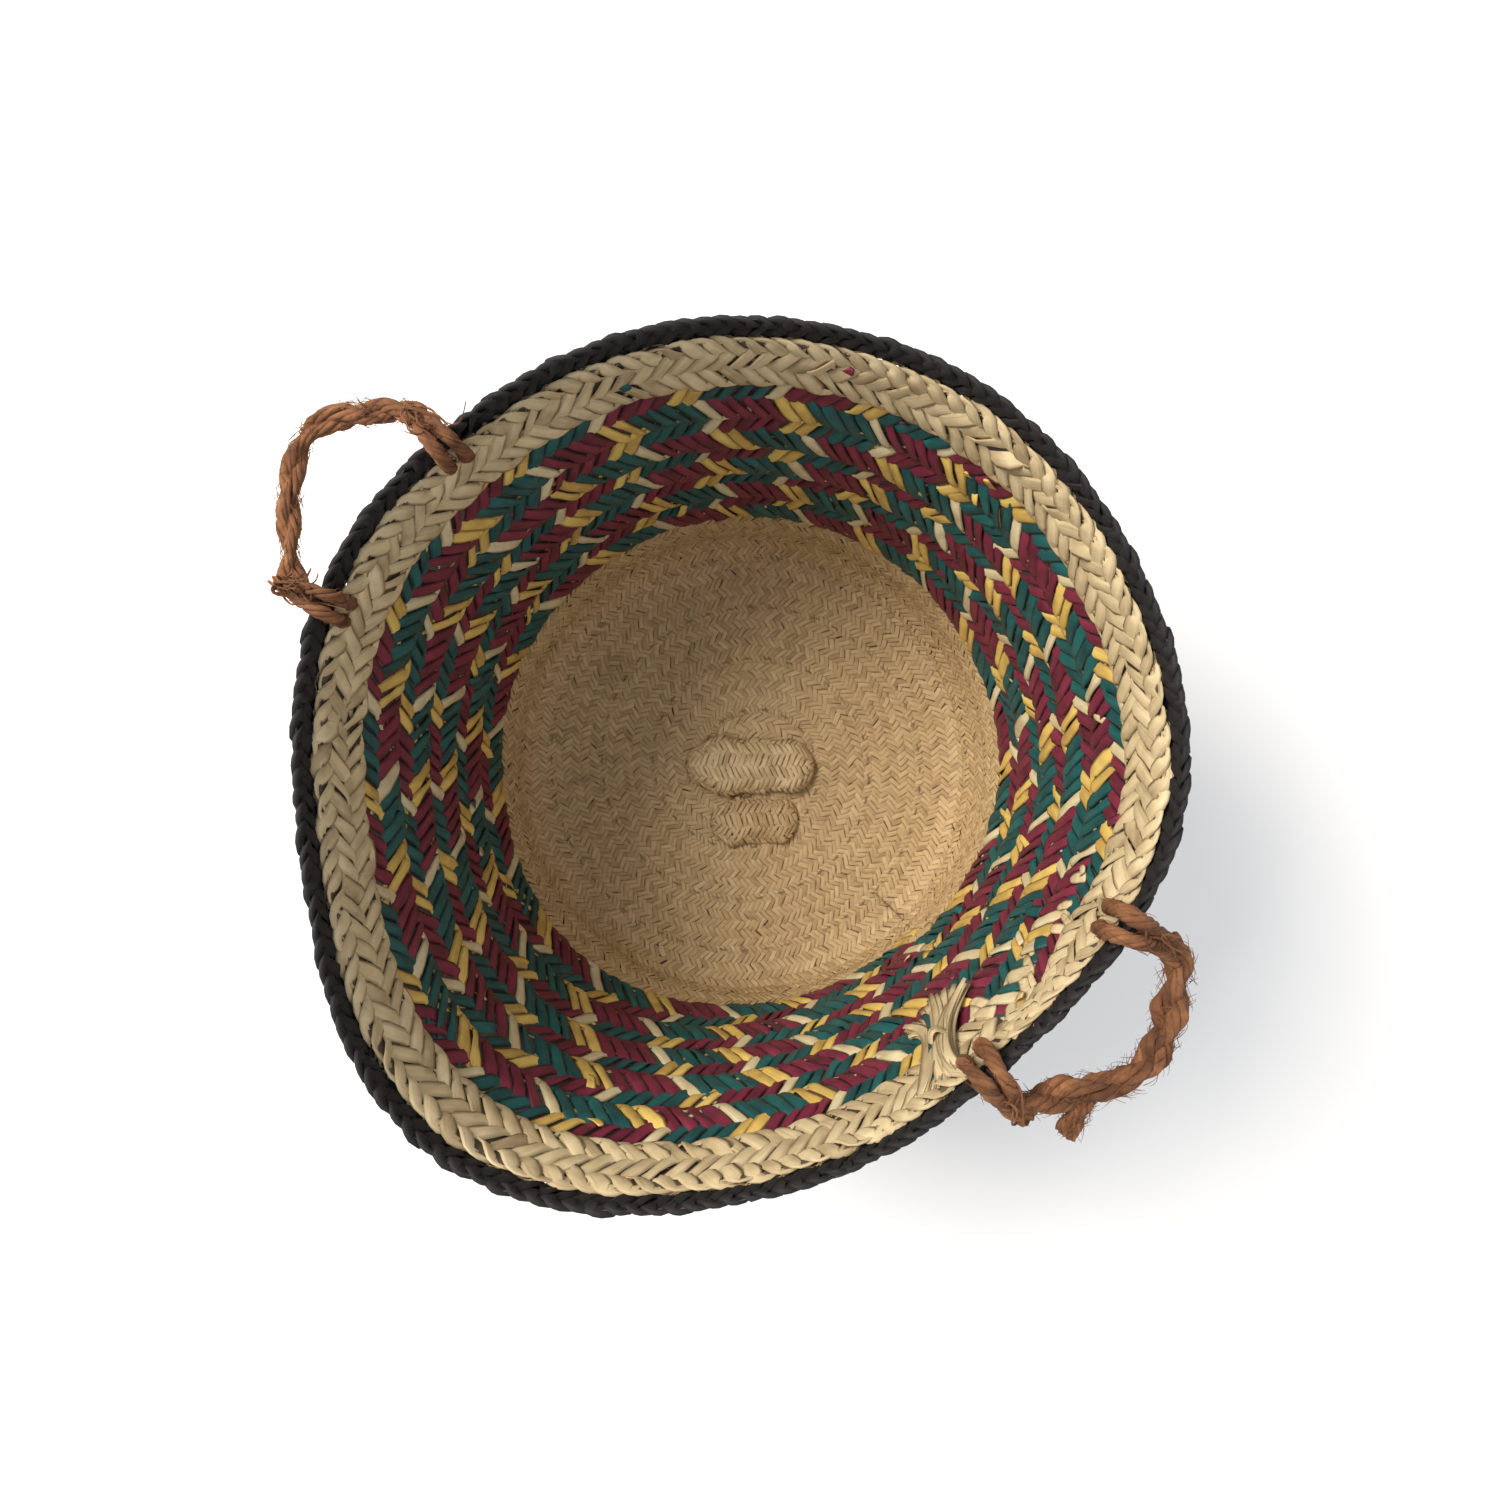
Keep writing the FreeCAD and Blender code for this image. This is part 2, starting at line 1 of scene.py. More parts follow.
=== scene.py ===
"""Plaited palm-leaf basket with two rope handles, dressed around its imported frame."""

import json
import logging
import math
from dataclasses import dataclass, field
from enum import Enum
from typing import Callable, Sequence

import bpy
import numpy as np
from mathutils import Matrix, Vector


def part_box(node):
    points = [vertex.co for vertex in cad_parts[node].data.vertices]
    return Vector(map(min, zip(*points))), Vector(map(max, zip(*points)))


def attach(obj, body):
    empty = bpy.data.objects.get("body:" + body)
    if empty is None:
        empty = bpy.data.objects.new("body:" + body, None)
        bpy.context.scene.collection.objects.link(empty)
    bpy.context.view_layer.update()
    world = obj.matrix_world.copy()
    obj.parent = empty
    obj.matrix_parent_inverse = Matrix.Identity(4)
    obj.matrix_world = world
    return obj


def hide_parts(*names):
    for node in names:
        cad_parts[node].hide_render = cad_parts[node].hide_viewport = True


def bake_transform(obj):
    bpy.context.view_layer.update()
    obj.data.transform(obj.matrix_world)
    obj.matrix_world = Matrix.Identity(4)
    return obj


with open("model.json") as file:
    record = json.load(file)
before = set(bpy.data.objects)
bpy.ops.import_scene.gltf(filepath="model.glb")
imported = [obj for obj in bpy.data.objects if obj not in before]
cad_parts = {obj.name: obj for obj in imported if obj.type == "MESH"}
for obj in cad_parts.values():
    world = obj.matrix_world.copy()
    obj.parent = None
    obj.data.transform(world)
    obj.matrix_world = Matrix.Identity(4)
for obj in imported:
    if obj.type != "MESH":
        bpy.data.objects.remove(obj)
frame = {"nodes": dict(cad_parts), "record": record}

logging.basicConfig(level=logging.INFO, format="%(message)s")
log = logging.getLogger("basket")

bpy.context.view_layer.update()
TURN = 2.0 * math.pi
BASKET = "basket"
FLOOR_GAP = 0.0001


# ---------------------------------------------------------------- shader graphs


class Socket:
    """An output socket or a number, with arithmetic that adds Math nodes."""

    def __init__(self, graph: "Graph", value: object) -> None:
        """Wrap a node's output socket."""
        self.graph = graph
        self.value = value

    def _math(self, operation: str, *others: object, swap: bool = False) -> "Socket":
        """Add one Math node.

        Args:
            operation: the Math node's operation.
            others: its other operands, sockets or numbers.
            swap: whether this socket is the second operand.

        Returns:
            The node's output.
        """
        operands = [*others, self] if swap else [self, *others]
        inputs = dict(enumerate(operands))
        return self.graph.node("ShaderNodeMath", {"operation": operation}, inputs)["Value"]

    def __add__(self, other: object) -> "Socket":
        """Sum."""
        return self._math("ADD", other)

    __radd__ = __add__

    def __mul__(self, other: object) -> "Socket":
        """Product."""
        return self._math("MULTIPLY", other)

    __rmul__ = __mul__

    def __sub__(self, other: object) -> "Socket":
        """Difference."""
        return self._math("SUBTRACT", other)

    def __rsub__(self, other: object) -> "Socket":
        """Difference from a number."""
        return self._math("SUBTRACT", other, swap=True)

    def clamp(self) -> "Socket":
        """The same value, kept from 0 to 1."""
        return self._math("MINIMUM", 1.0)._math("MAXIMUM", 0.0)

    def step(self, low: float, high: float) -> "Socket":
        """Smooth step from low to high.

        Args:
            low: value where the step starts.
            high: value where it ends.

        Returns:
            A value from 0 to 1.
        """
        settings = {"interpolation_type": "SMOOTHSTEP"}
        inputs = {"Value": self, "From Min": low, "From Max": high}
        return self.graph.node("ShaderNodeMapRange", settings, inputs)["Result"]


class Node:
    """A shader node whose outputs are read by name."""

    def __init__(self, graph: "Graph", node: bpy.types.ShaderNode) -> None:
        """Wrap a node of a graph."""
        self.graph = graph
        self.node = node

    def __getitem__(self, name: str | int) -> Socket:
        """One output, by its name or place."""
        return Socket(self.graph, self.node.outputs[name])


class Graph:
    """The node tree of one material."""

    def __init__(self, name: str) -> None:
        """Make a material with an empty tree and a Principled shader.

        Args:
            name: the material's name.
        """
        self.material = bpy.data.materials.new(name)
        self.material.use_nodes = True
        self.tree = self.material.node_tree
        self.tree.nodes.clear()
        self.shader = self.node("ShaderNodeBsdfPrincipled", {}, {})
        output = self.node("ShaderNodeOutputMaterial", {}, {})
        self.tree.links.new(self.shader["BSDF"].value, output.node.inputs["Surface"])

    def node(self, kind: str, settings: dict[str, object], inputs: dict) -> Node:
        """Add a node.

        Args:
            kind: its type.
            settings: its properties, set first; "stops" fills a colour ramp.
            inputs: values or Sockets for its inputs, by name or place.

        Returns:
            The node.
        """
        made = self.tree.nodes.new(kind)
        for name, value in settings.items():
            if name == "stops":
                self._stops(made.color_ramp, value)
            else:
                setattr(made, name, value)
        for name, value in inputs.items():
            self.feed(made.inputs[name], value)
        return Node(self, made)

    @staticmethod
    def _stops(ramp: bpy.types.ColorRamp, stops: Sequence[tuple]) -> None:
        """Set a ramp's stops, each a position and a colour.

        Args:
            ramp: the ramp.
            stops: a position from 0 to 1 and a colour each.
        """
        while len(ramp.elements) < len(stops):
            ramp.elements.new(1.0)
        for element, (position, colour) in zip(ramp.elements, stops):
            element.position = position
            element.color = (*colour, 1.0)

    def feed(self, socket: bpy.types.NodeSocket, value: object) -> None:
        """Link a Socket to an input, or set its value.

        Args:
            socket: the input.
            value: Socket, number, colour or vector.
        """
        if isinstance(value, Socket):
            self.tree.links.new(value.value, socket)
        elif isinstance(value, tuple) and len(value) == 3 and socket.type == "RGBA":
            socket.default_value = (*value, 1.0)
        else:
            socket.default_value = value

    def surface(self, **inputs: object) -> bpy.types.Material:
        """Feed the Principled shader.

        Args:
            inputs: Sockets or values by the inputs' names, with underscores for spaces.

        Returns:
            The material.
        """
        for name, value in inputs.items():
            self.feed(self.shader.node.inputs[name.replace("_", " ").title()], value)
        return self.material

    def mix(self, share: object, first: object, second: object) -> Socket:
        """Mix two colours.

        Args:
            share: how much of the second, from 0 to 1.
            first: colour or Socket.
            second: colour or Socket.

        Returns:
            The mixed colour.
        """
        inputs = {0: share, 6: first, 7: second}
        return self.node("ShaderNodeMix", {"data_type": "RGBA"}, inputs)[2]

    def ramp(self, tone: Socket, stops: Sequence[tuple]) -> Socket:
        """The colour that a ramp gives for a tone from 0 to 1."""
        return self.node("ShaderNodeValToRGB", {"stops": stops}, {"Fac": tone})["Color"]

    def random(self, number: Socket) -> Socket:
        """A value from 0 to 1 that is the same all along one leaf or yarn, by its number."""
        return self.node("ShaderNodeTexWhiteNoise", {"noise_dimensions": "1D"}, {"W": number})["Value"]

    def scaled(self, vector: Socket, factors: tuple[float, float, float]) -> Socket:
        """A vector times three factors."""
        inputs = {0: vector, 1: factors}
        return self.node("ShaderNodeVectorMath", {"operation": "MULTIPLY"}, inputs)["Vector"]

    def noise(self, vector: Socket, scale: float, detail: float = 3.0) -> Socket:
        """Noise from 0 to 1 at a vector."""
        inputs = {"Vector": vector, "Scale": scale, "Detail": detail, "Roughness": 0.6}
        return self.node("ShaderNodeTexNoise", {}, inputs)["Fac"]

    def bump(self, height: Socket, strength: float, distance: float) -> Socket:
        """A normal bent by a height."""
        inputs = {"Strength": strength, "Distance": distance, "Height": height}
        return self.node("ShaderNodeBump", {}, inputs)["Normal"]

    def attribute(self, name: str) -> Node:
        """A stored attribute of the mesh."""
        return self.node("ShaderNodeAttribute", {"attribute_name": name}, {})

    def place(self) -> Socket:
        """The point in the object's own frame."""
        return self.node("ShaderNodeTexCoord", {}, {})["Object"]


# ---------------------------------------------------------------- finishes

Colour = tuple[float, float, float]


@dataclass(frozen=True)
class LeafFinish:
    """Dry palm leaf: long grain, satin, uneven colour from leaf to leaf, and painted shade along each
    leaf's edges.
    """

    name: str
    light: Colour
    middle: Colour
    dark: Colour
    rough: float = 0.5
    stain: float = 0.35
    edges: float = 110000.0

    def material(self) -> bpy.types.Material:
        """Build the leaf's material.

        The "leaf" attribute gives metres along, metres across and the leaf's number. The edges
        field is one over the squared distance from the middle line where the painted shade along a
        leaf's edges is darkest.

        Returns:
            The material.
        """
        g = Graph(self.name)
        leaf = g.attribute("leaf")["Vector"]
        split = g.node("ShaderNodeSeparateXYZ", {}, {"Vector": leaf})
        number, across = split["Z"], split["Y"]
        shade = g.random(number)
        grain = g.noise(g.scaled(leaf, (60.0, 1900.0, 3.1)), 1.0, 4.0)
        patches = g.noise(g.scaled(leaf, (52.0, 90.0, 7.3)), 1.0, 2.0)
        tone = (shade * 0.30 + grain * 0.28 + patches * 1.00 - 0.30).clamp()
        colour = g.ramp(tone, [(0.08, self.dark), (0.45, self.middle), (0.92, self.light)])
        dirt = g.noise(g.place(), 22.0, 4.0).step(0.52, 0.78) * self.stain
        colour = g.mix(dirt, colour, self.dark)
        # Painted shade: each leaf is darkened towards its edges, where the shadow between leaves
        # falls.
        edge = (across * across * self.edges).step(0.45, 1.0) * 0.35
        colour = g.mix(edge, colour, self.dark)
        ribs = g.noise(g.scaled(leaf, (25.0, 2600.0, 1.7)), 1.0, 2.0)
        return g.surface(
            base_color=colour,
            roughness=(self.rough + grain * 0.22 - 0.08).clamp(),
            normal=g.bump(ribs * 0.7 + patches * 0.6, 0.55, 0.0006),
        )


@dataclass(frozen=True)
class FibreFinish:
    """Rough coir rope: long twisted fibres with pale and dark strands."""

    name: str
    light: Colour
    middle: Colour
    dark: Colour

    def material(self) -> bpy.types.Material:
        """Build the rope's material from the "leaf" attribute and the place.

        Returns:
            The material.
        """
        g = Graph(self.name)
        leaf = g.attribute("leaf")["Vector"]
        number = g.node("ShaderNodeSeparateXYZ", {}, {"Vector": leaf})["Z"]
        shade = g.random(number)
        hairs = g.noise(g.scaled(leaf, (90.0, 5200.0, 2.3)), 1.0, 4.0)
        patches = g.noise(g.place(), 85.0, 3.0)
        tone = (shade * 0.30 + hairs * 0.45 + patches * 0.90 - 0.33).clamp()
        colour = g.ramp(tone, [(0.12, self.dark), (0.48, self.middle), (0.9, self.light)])
        return g.surface(
            base_color=colour,
            roughness=(0.72 + hairs * 0.2).clamp(),
            normal=g.bump(hairs, 0.7, 0.0008),
        )


@dataclass(frozen=True)
class FloorFinish:
    """Plain pale studio floor."""

    name: str = "studio_floor"
    light: Colour = (0.93, 0.93, 0.93)
    dark: Colour = (0.8, 0.8, 0.8)

    def material(self) -> bpy.types.Material:
        """Build the floor's material, with a faint mottle.

        Returns:
            The material.
        """
        g = Graph(self.name)
        speck = g.noise(g.place(), 40.0, 2.0)
        return g.surface(base_color=g.mix(speck * 0.04, self.light, self.dark), roughness=0.85)


class Leaf(Enum):
    """The leaves and ropes of the basket."""

    NATURAL = LeafFinish(
        "natural_leaf", (0.70, 0.53, 0.30), (0.55, 0.39, 0.205), (0.31, 0.20, 0.10), 0.6
    )
    PALE = LeafFinish(
        "undyed_pale_leaf", (0.80, 0.67, 0.42), (0.55, 0.43, 0.25), (0.24, 0.17, 0.09), 0.5
    )
    CREAM = LeafFinish(
        "cream_leaf_dyed_strip", (0.78, 0.70, 0.46), (0.56, 0.46, 0.27), (0.28, 0.20, 0.11), 0.45
    )
    YELLOW = LeafFinish(
        "yellow_leaf", (0.86, 0.64, 0.19), (0.64, 0.43, 0.11), (0.30, 0.18, 0.05), 0.45
    )
    MAROON = LeafFinish(
        "maroon_leaf", (0.27, 0.030, 0.070), (0.155, 0.016, 0.040), (0.050, 0.006, 0.016), 0.5
    )
    GREEN = LeafFinish(
        "green_leaf", (0.012, 0.150, 0.145), (0.006, 0.075, 0.078), (0.004, 0.024, 0.028), 0.5
    )
    BLACK = LeafFinish(
        "black_leaf", (0.014, 0.012, 0.013), (0.007, 0.006, 0.007), (0.003, 0.002, 0.003), 0.72
    )
    CORD = LeafFinish(
        "lacing_leaf", (0.50, 0.40, 0.24), (0.34, 0.25, 0.13), (0.13, 0.09, 0.04), 0.6
    )
    # Painted shade: a near-black leaf colour for the sheet that shows through the plait's gaps.
    BUTTS = LeafFinish(
        "painted_gap_shade", (0.12, 0.09, 0.06), (0.06, 0.042, 0.027), (0.02, 0.014, 0.01), 0.7
    )
    # Painted light: a brighter copy of the natural leaf, for the lit top of the folded start.
    FOLD = LeafFinish(
        "folded_leaf_painted_light", (0.78, 0.62, 0.38), (0.60, 0.45, 0.255), (0.32, 0.21, 0.115), 0.55
    )
    ROPE = FibreFinish(
        "coir_fibre", (0.42, 0.19, 0.080), (0.21, 0.082, 0.031), (0.055, 0.019, 0.009)
    )

    def material(self) -> bpy.types.Material:
        """The finish's material, made once."""
        return bpy.data.materials.get(self.value.name) or self.value.material()


# ---------------------------------------------------------------- meshes


@dataclass
class Skin:
    """Points, quads and leaf facts that become one mesh."""

    points: list[np.ndarray] = field(default_factory=list)
    quads: list[np.ndarray] = field(default_factory=list)
    leaves: list[np.ndarray] = field(default_factory=list)
    slots: list[np.ndarray] = field(default_factory=list)
    count: int = 0

    def tube(self, rings: np.ndarray, facts: np.ndarray, slots: np.ndarray) -> None:
        """Add a closed-ended tube.

        Args:
            rings: points, ring by ring, shaped (rings, sides, 3).
            facts: metres along, metres across and leaf number of each point.
            slots: material slot of each stretch between two rings.
        """
        length, sides = rings.shape[:2]
        index = np.arange(length * sides).reshape(length, sides) + self.count
        following = np.roll(index, -1, axis=1)
        walls = np.stack([index[:-1], following[:-1], following[1:], index[1:]], axis=-1)
        caps = []
        cap_slots = []
        for ring, slot in ((index[0][::-1], slots[0]), (index[-1], slots[-1])):
            for k in range(1, sides - 2, 2):
                caps.append([ring[0], ring[k], ring[k + 1], ring[k + 2]])
                cap_slots.append(slot)
        self.points.append(rings.reshape(-1, 3))
        self.leaves.append(facts.reshape(-1, 3))
        self.quads += [walls.reshape(-1, 4), np.array(caps)]
        self.slots += [np.repeat(slots, sides), np.array(cap_slots)]
        self.count += length * sides

    def build(self, name: str, finishes: Sequence[Leaf]) -> bpy.types.Object:
        """Make the object, with nothing lower than just above what it stands on.

        Args:
            name: the piece's name.
            finishes: what each slot number stands for.

        Returns:
            The object, linked to the scene.
        """
        points = np.concatenate(self.points)
        points[:, 2] = np.maximum(points[:, 2], FLOOR_GAP)
        quads = np.concatenate(self.quads).astype(np.int32)
        mesh = bpy.data.meshes.new(name)
        mesh.vertices.add(len(points))
        mesh.vertices.foreach_set("co", points.astype(np.float32).ravel())
        mesh.loops.add(quads.size)
        mesh.loops.foreach_set("vertex_index", quads.ravel())
        mesh.polygons.add(len(quads))
        mesh.polygons.foreach_set("loop_start", np.arange(0, quads.size, 4, dtype=np.int32))
        mesh.update(calc_edges=True)
        mesh.validate()
        for finish in finishes:
            mesh.materials.append(finish.material())
        slots = np.concatenate(self.slots).astype(np.int32)
        mesh.polygons.foreach_set("material_index", slots)
        mesh.polygons.foreach_set("use_smooth", np.ones(len(quads), bool))
        facts = mesh.attributes.new("leaf", "FLOAT_VECTOR", "POINT")
        facts.data.foreach_set("vector", np.concatenate(self.leaves).astype(np.float32).ravel())
        made = bpy.data.objects.new(name, mesh)
        bpy.context.scene.collection.objects.link(made)
        return made


def smooth_step(x: np.ndarray) -> np.ndarray:
    """Smooth rise from 0 to 1 of values that pass from 0 to 1."""
    x = np.clip(x, 0.0, 1.0)
    return x * x * (3.0 - 2.0 * x)


def leaf_section(flat: float) -> np.ndarray:
    """Outline of a leaf's section, in half widths and half thicknesses, flat out to a share."""
    return np.array([[-1, 0], [-flat, 1], [flat, 1], [1, 0], [flat, -1], [-flat, -1]])


def distances(line: np.ndarray) -> np.ndarray:
    """Distance of each point of a line from its first point, along the line."""
    steps = np.linalg.norm(np.diff(line, axis=0), axis=1)
    return np.concatenate([[0.0], np.cumsum(steps)])


def wobble(rng: np.random.Generator, at: np.ndarray, step: float, size: float) -> np.ndarray:
    """Smooth random values.

    Args:
        rng: random source.
        at: where along a line to read them.
        step: distance between two random values.
        size: their spread.

    Returns:
        One value for each place.
    """
    low, high = float(np.min(at)), float(np.max(at))
    knots = np.arange(low - step, high + 2 * step, step)
    return np.interp(at, knots, rng.normal(0.0, size, len(knots)))


# ---------------------------------------------------------------- the basket's shape


@dataclass
class BasketShape:
    """Middle surface of the plait: flat floor, round corner and the soft, uneven wall."""

    half_wall: float = 0.0
    corner_radius: float = 0.0
    flat_radius: float = 0.0
    corner_top: float = 0.0
    rim_top: float = 0.0
    levels: np.ndarray = field(default_factory=lambda: np.zeros(0))
    waves: np.ndarray = field(default_factory=lambda: np.zeros(0))
    harmonics: int = 6

    @classmethod
    def from_frame(cls) -> "BasketShape":
        """Read the shape from the frame's floor, corner and wall nodes.

        Returns:
            The basket's shape.
        """
        shape = cls()
        low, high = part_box("floor_centre")
        shape.half_wall = (high.z - low.z) / 2
        corner_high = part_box("corner_turn")[1]
        shape.corner_top = corner_high.z
        shape.corner_radius = corner_high.z - shape.half_wall
        shape.flat_radius = corner_high.x - shape.half_wall - shape.corner_radius
        shape.rim_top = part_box("rim_strip")[1].z
        nodes = ["corner_turn", "natural_wall_turn"]
        nodes += [f"coloured_turn_{n}" for n in range(1, 6)] + ["top_band", "rim_strip"]
        shape.levels = np.array([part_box(node)[1].z for node in nodes])
        shape.waves = np.array([shape._fit(node) for node in nodes])
        return shape

    def _terms(self, azimuth: np.ndarray) -> np.ndarray:
        """Mean and harmonic terms of an outline at some azimuths.

        Args:
            azimuth: directions round the basket, radians.

        Returns:
            The terms, on a last axis.
        """
        terms = [np.ones_like(azimuth)]
        for order in range(1, self.harmonics + 1):
            terms += [np.cos(order * azimuth), np.sin(order * azimuth)]
        return np.stack(terms, axis=-1)

    def _fit(self, node: str) -> np.ndarray:
        """Outline of the top edge of a node's middle surface, as harmonic terms.

        Args:
            node: name of a CAD node of the wall.

        Returns:
            One coefficient for each term.
        """
        mesh = frame["nodes"][node].data
        points = np.array([v.co for v in mesh.vertices])
        top = points[points[:, 2] > points[:, 2].max() - 0.0002]
        azimuth = np.arctan2(top[:, 1], top[:, 0])
        radius = np.hypot(top[:, 0], top[:, 1])
        outside = radius > self._usual(azimuth, radius)
        pair = np.where(outside, -self.half_wall, self.half_wall)
        return np.linalg.lstsq(self._terms(azimuth), radius + pair, rcond=None)[0]

    def _usual(self, azimuth: np.ndarray, radius: np.ndarray) -> np.ndarray:
        """Rough middle between the inner and outer edge points."""
        terms = self._terms(azimuth)
        return terms @ np.linalg.lstsq(terms, radius, rcond=None)[0]

    def radius(self, azimuth: np.ndarray, height: np.ndarray) -> np.ndarray:
        """Middle radius of the wall at some azimuths and heights.

        Args:
            azimuth: directions round the basket, radians.
            height: heights above the ground.

        Returns:
            The radii.
        """
        terms = self._terms(azimuth)
        total = np.zeros(np.broadcast(azimuth, height).shape)
        for k in range(self.waves.shape[1]):
            total = total + terms[..., k] * np.interp(height, self.levels, self.waves[:, k])
        return total

    @property
    def arc(self) -> float:
        """Length of the corner's arc."""
        return self.corner_radius * math.pi / 2

    def along_at(self, height: np.ndarray | float) -> np.ndarray | float:
        """Distance along the profile, from the middle of the floor, of a height on the wall."""
        return self.flat_radius + self.arc + height - self.corner_top

    def point(self, along: np.ndarray, azimuth: np.ndarray, lift: np.ndarray) -> np.ndarray:
        """Points on the plait.

        Args:
            along: distance along the profile from the middle of the floor.
            azimuth: direction round the basket, radians.
            lift: distance from the middle surface into the basket.

        Returns:
            The points, with a last axis of 3.
        """
        turned = np.clip((along - self.flat_radius) / self.corner_radius, 0.0, math.pi / 2)
        height = self.corner_top + along - self.flat_radius - self.arc
        wall = self.radius(azimuth, np.maximum(height, self.corner_top))
        round_radius = np.minimum(along, self.flat_radius) + self.corner_radius * np.sin(turned)
        on_wall = height > self.corner_top
        radius = np.where(on_wall, wall, round_radius) - lift * np.sin(turned)
        curve = self.half_wall + self.corner_radius * (1 - np.cos(turned))
        z = np.where(on_wall, height, curve) + lift * np.cos(turned)
        return np.stack([radius * np.cos(azimuth), radius * np.sin(azimuth), z], axis=-1)


# ---------------------------------------------------------------- plaiting


@dataclass(frozen=True)
class Plait:
    """A flat plait of an odd number of leaves that cross each other in long floats.

    Falling leaves are on top in the lowest rows of crossings. At each turning row the leaves
    that are on top change over from falling to rising, or back. A tooth is the length of strip
    from one leaf's fold at the edge to the next one's. The slack scales how uneven the leaves
    lie, and a steep below 1 makes the leaves on top climb more steeply than those under them.
    """

    strands: int
    turning_rows: tuple[int, ...]
    leaf_width: float
    relief: float
    crown: float
    seed: int
    slack: float = 1.0
    steep: float = 0.65

    def _rising_on_top(self, row: float) -> bool:
        """Whether rising leaves are on top at a row of crossings."""
        return sum(row > turning for turning in self.turning_rows) % 2 == 1

    def _rise(self, row: float) -> float:
        """Teeth that a rising leaf has moved along when it has crossed this many leaves.

        Args:
            row: rows of crossings passed, from the lower edge.

        Returns:
            The teeth moved along.
        """
        stops = [0.0, *(turning + 0.5 for turning in self.turning_rows), float(self.strands)]
        moved = 0.0
        for band, (low, high) in enumerate(zip(stops, stops[1:])):
            rate = self.steep if band % 2 else 2 - self.steep
            moved += 0.5 * rate * (min(max(row, low), high) - low)
        return moved

    def _leg(self) -> list[tuple[float, float, float, float]]:
        """A leaf's way from the lower edge to the upper edge and back.

        Returns:
            Teeth moved along, place across (0 to 1), side (-1 to 1) and fullness of each sample.
        """
        count = self.strands
        rows = [0.0, 0.4, *range(1, count), count - 0.4]
        way = []
        for rising in (True, False):
            for row in rows if rising else [count - row for row in rows]:
                to_edge = min(row, count - row)
                full = 1.0 if to_edge >= 1 else 0.5 if to_edge > 0 else 0.0
                nearest = min(max(row, 1), count - 1)
                side = 1.0 if self._rising_on_top(nearest) == rising else -1.0
                inset = 0.35 * (1 - full) ** 2
                place = min(max(row, inset), count - inset) / count
                moved = self._rise(row)
                if not rising:
                    moved = count - (row - moved)
                way.append((moved, place, side * full, full))
        return way

    def route(self, first: float, last: float, strand: int) -> tuple[np.ndarray, ...]:
        """Path of one leaf through the plait.

        Args:
            first: tooth number where the stretch starts.
            last: tooth number where it ends.
            strand: the leaf's own number.

        Returns:
            Tooth number, place across, side and fullness of each sample along the leaf.
        """
        leg = np.array(self._leg())
        start = math.floor((first - strand) / self.strands) - 1
        rounds = []
        while strand + start * self.strands < last + 1:
            lap = leg.copy()
            lap[:, 0] += strand + start * self.strands
            rounds.append(lap)
            start += 1
        rows = np.concatenate(rounds).T
        keep = (rows[0] >= first) & (rows[0] < last)
        return tuple(rows[:, keep])

    def lay(
        self,
        skin: Skin,
        span: tuple[float, float],
        surface: Callable[[np.ndarray, np.ndarray, np.ndarray], np.ndarray],
        pitch: Callable[[np.ndarray], tuple[np.ndarray, np.ndarray]],
        slot_of: Callable[[int, np.ndarray], np.ndarray],
    ) -> None:
        """Lay all leaves of a stretch of the plait.

        Args:
            skin: mesh that takes them.
            span: first and last tooth number.
            surface: point for a tooth number, a place across and a lift.
            pitch: length of a tooth and width of the strip at a tooth number.
            slot_of: material slot of a leaf at some tooth numbers.
        """
        section = leaf_section(0.55)
        for strand in range(self.strands):
            rng = np.random.default_rng(self.seed * 1000 + strand)
            teeth, across, side, full = self.route(span[0], span[1] + 0.5, strand)
            if len(teeth) < 3:
                continue
            tooth, width = pitch(teeth)
            slope = np.arctan2(np.gradient(across) * width, np.gradient(teeth) * tooth)
            thin = np.where(full < 1, 0.82, 1.0)
            half = self.leaf_width / 2 * thin * (1 + wobble(rng, teeth, 1.7, 0.07))
            drift = wobble(rng, teeth, 1.1, 0.00022 * self.slack)
            rise = side * self.relief + wobble(rng, teeth, 0.8, 0.00012 * self.slack)
            tilt = wobble(rng, teeth, 0.9, 0.10 * self.slack)
            offset = half[:, None] * section[:, 0] + drift[:, None]
            lift = rise[:, None] + self.crown * section[:, 1] + offset * tilt[:, None]
            along = teeth[:, None] - np.sin(slope)[:, None] * offset / tooth[:, None]
            over = across[:, None] + np.cos(slope)[:, None] * offset / width[:, None]
            rings = surface(along, over, lift)
            metres = distances(rings[:, 0])[:, None] + span[0] * 0.01
            facts = np.stack(
                [
                    np.broadcast_to(metres, offset.shape),
                    offset,
                    np.full(offset.shape, strand + 0.37 * self.seed),
                ],
                axis=-1,
            )
            skin.tube(rings, facts, slot_of(strand, teeth[:-1]))

    def fill(
        self,
        skin: Skin,
        span: tuple[float, float],
        surface: Callable[[np.ndarray, np.ndarray, np.ndarray], np.ndarray],
        slot: int,
    ) -> None:
        """Lay a thin dark sheet inside the plait, painted shade that shows through its gaps.

        Args:
            skin: mesh that takes it.
            span: first and last tooth number.
            surface: point for a tooth number, a place across and a lift.
            slot: its material slot.
        """
        teeth = np.linspace(*span, max(int(span[1] - span[0]), 2))[:, None]
        run = np.linspace(0.05, 0.95, 7)
        across = np.concatenate([run, run[::-1]])[None]
        lift = np.repeat([0.00012, -0.00012], len(run))[None]
        rings = surface(teeth + 0 * across, across + 0 * teeth, lift + 0 * teeth)
        facts = np.zeros(rings.shape)
        facts[..., 0] = teeth * self.leaf_width
        facts[..., 1] = (across - 0.5) * 0.004
        facts[..., 2] = 3.3 * self.seed
        skin.tube(rings, facts, np.full(len(teeth) - 1, slot))


def plain_slots(strand: int, teeth: np.ndarray) -> np.ndarray:
    """First slot everywhere, for a plait of one kind of leaf."""
    return np.zeros(len(teeth), int)


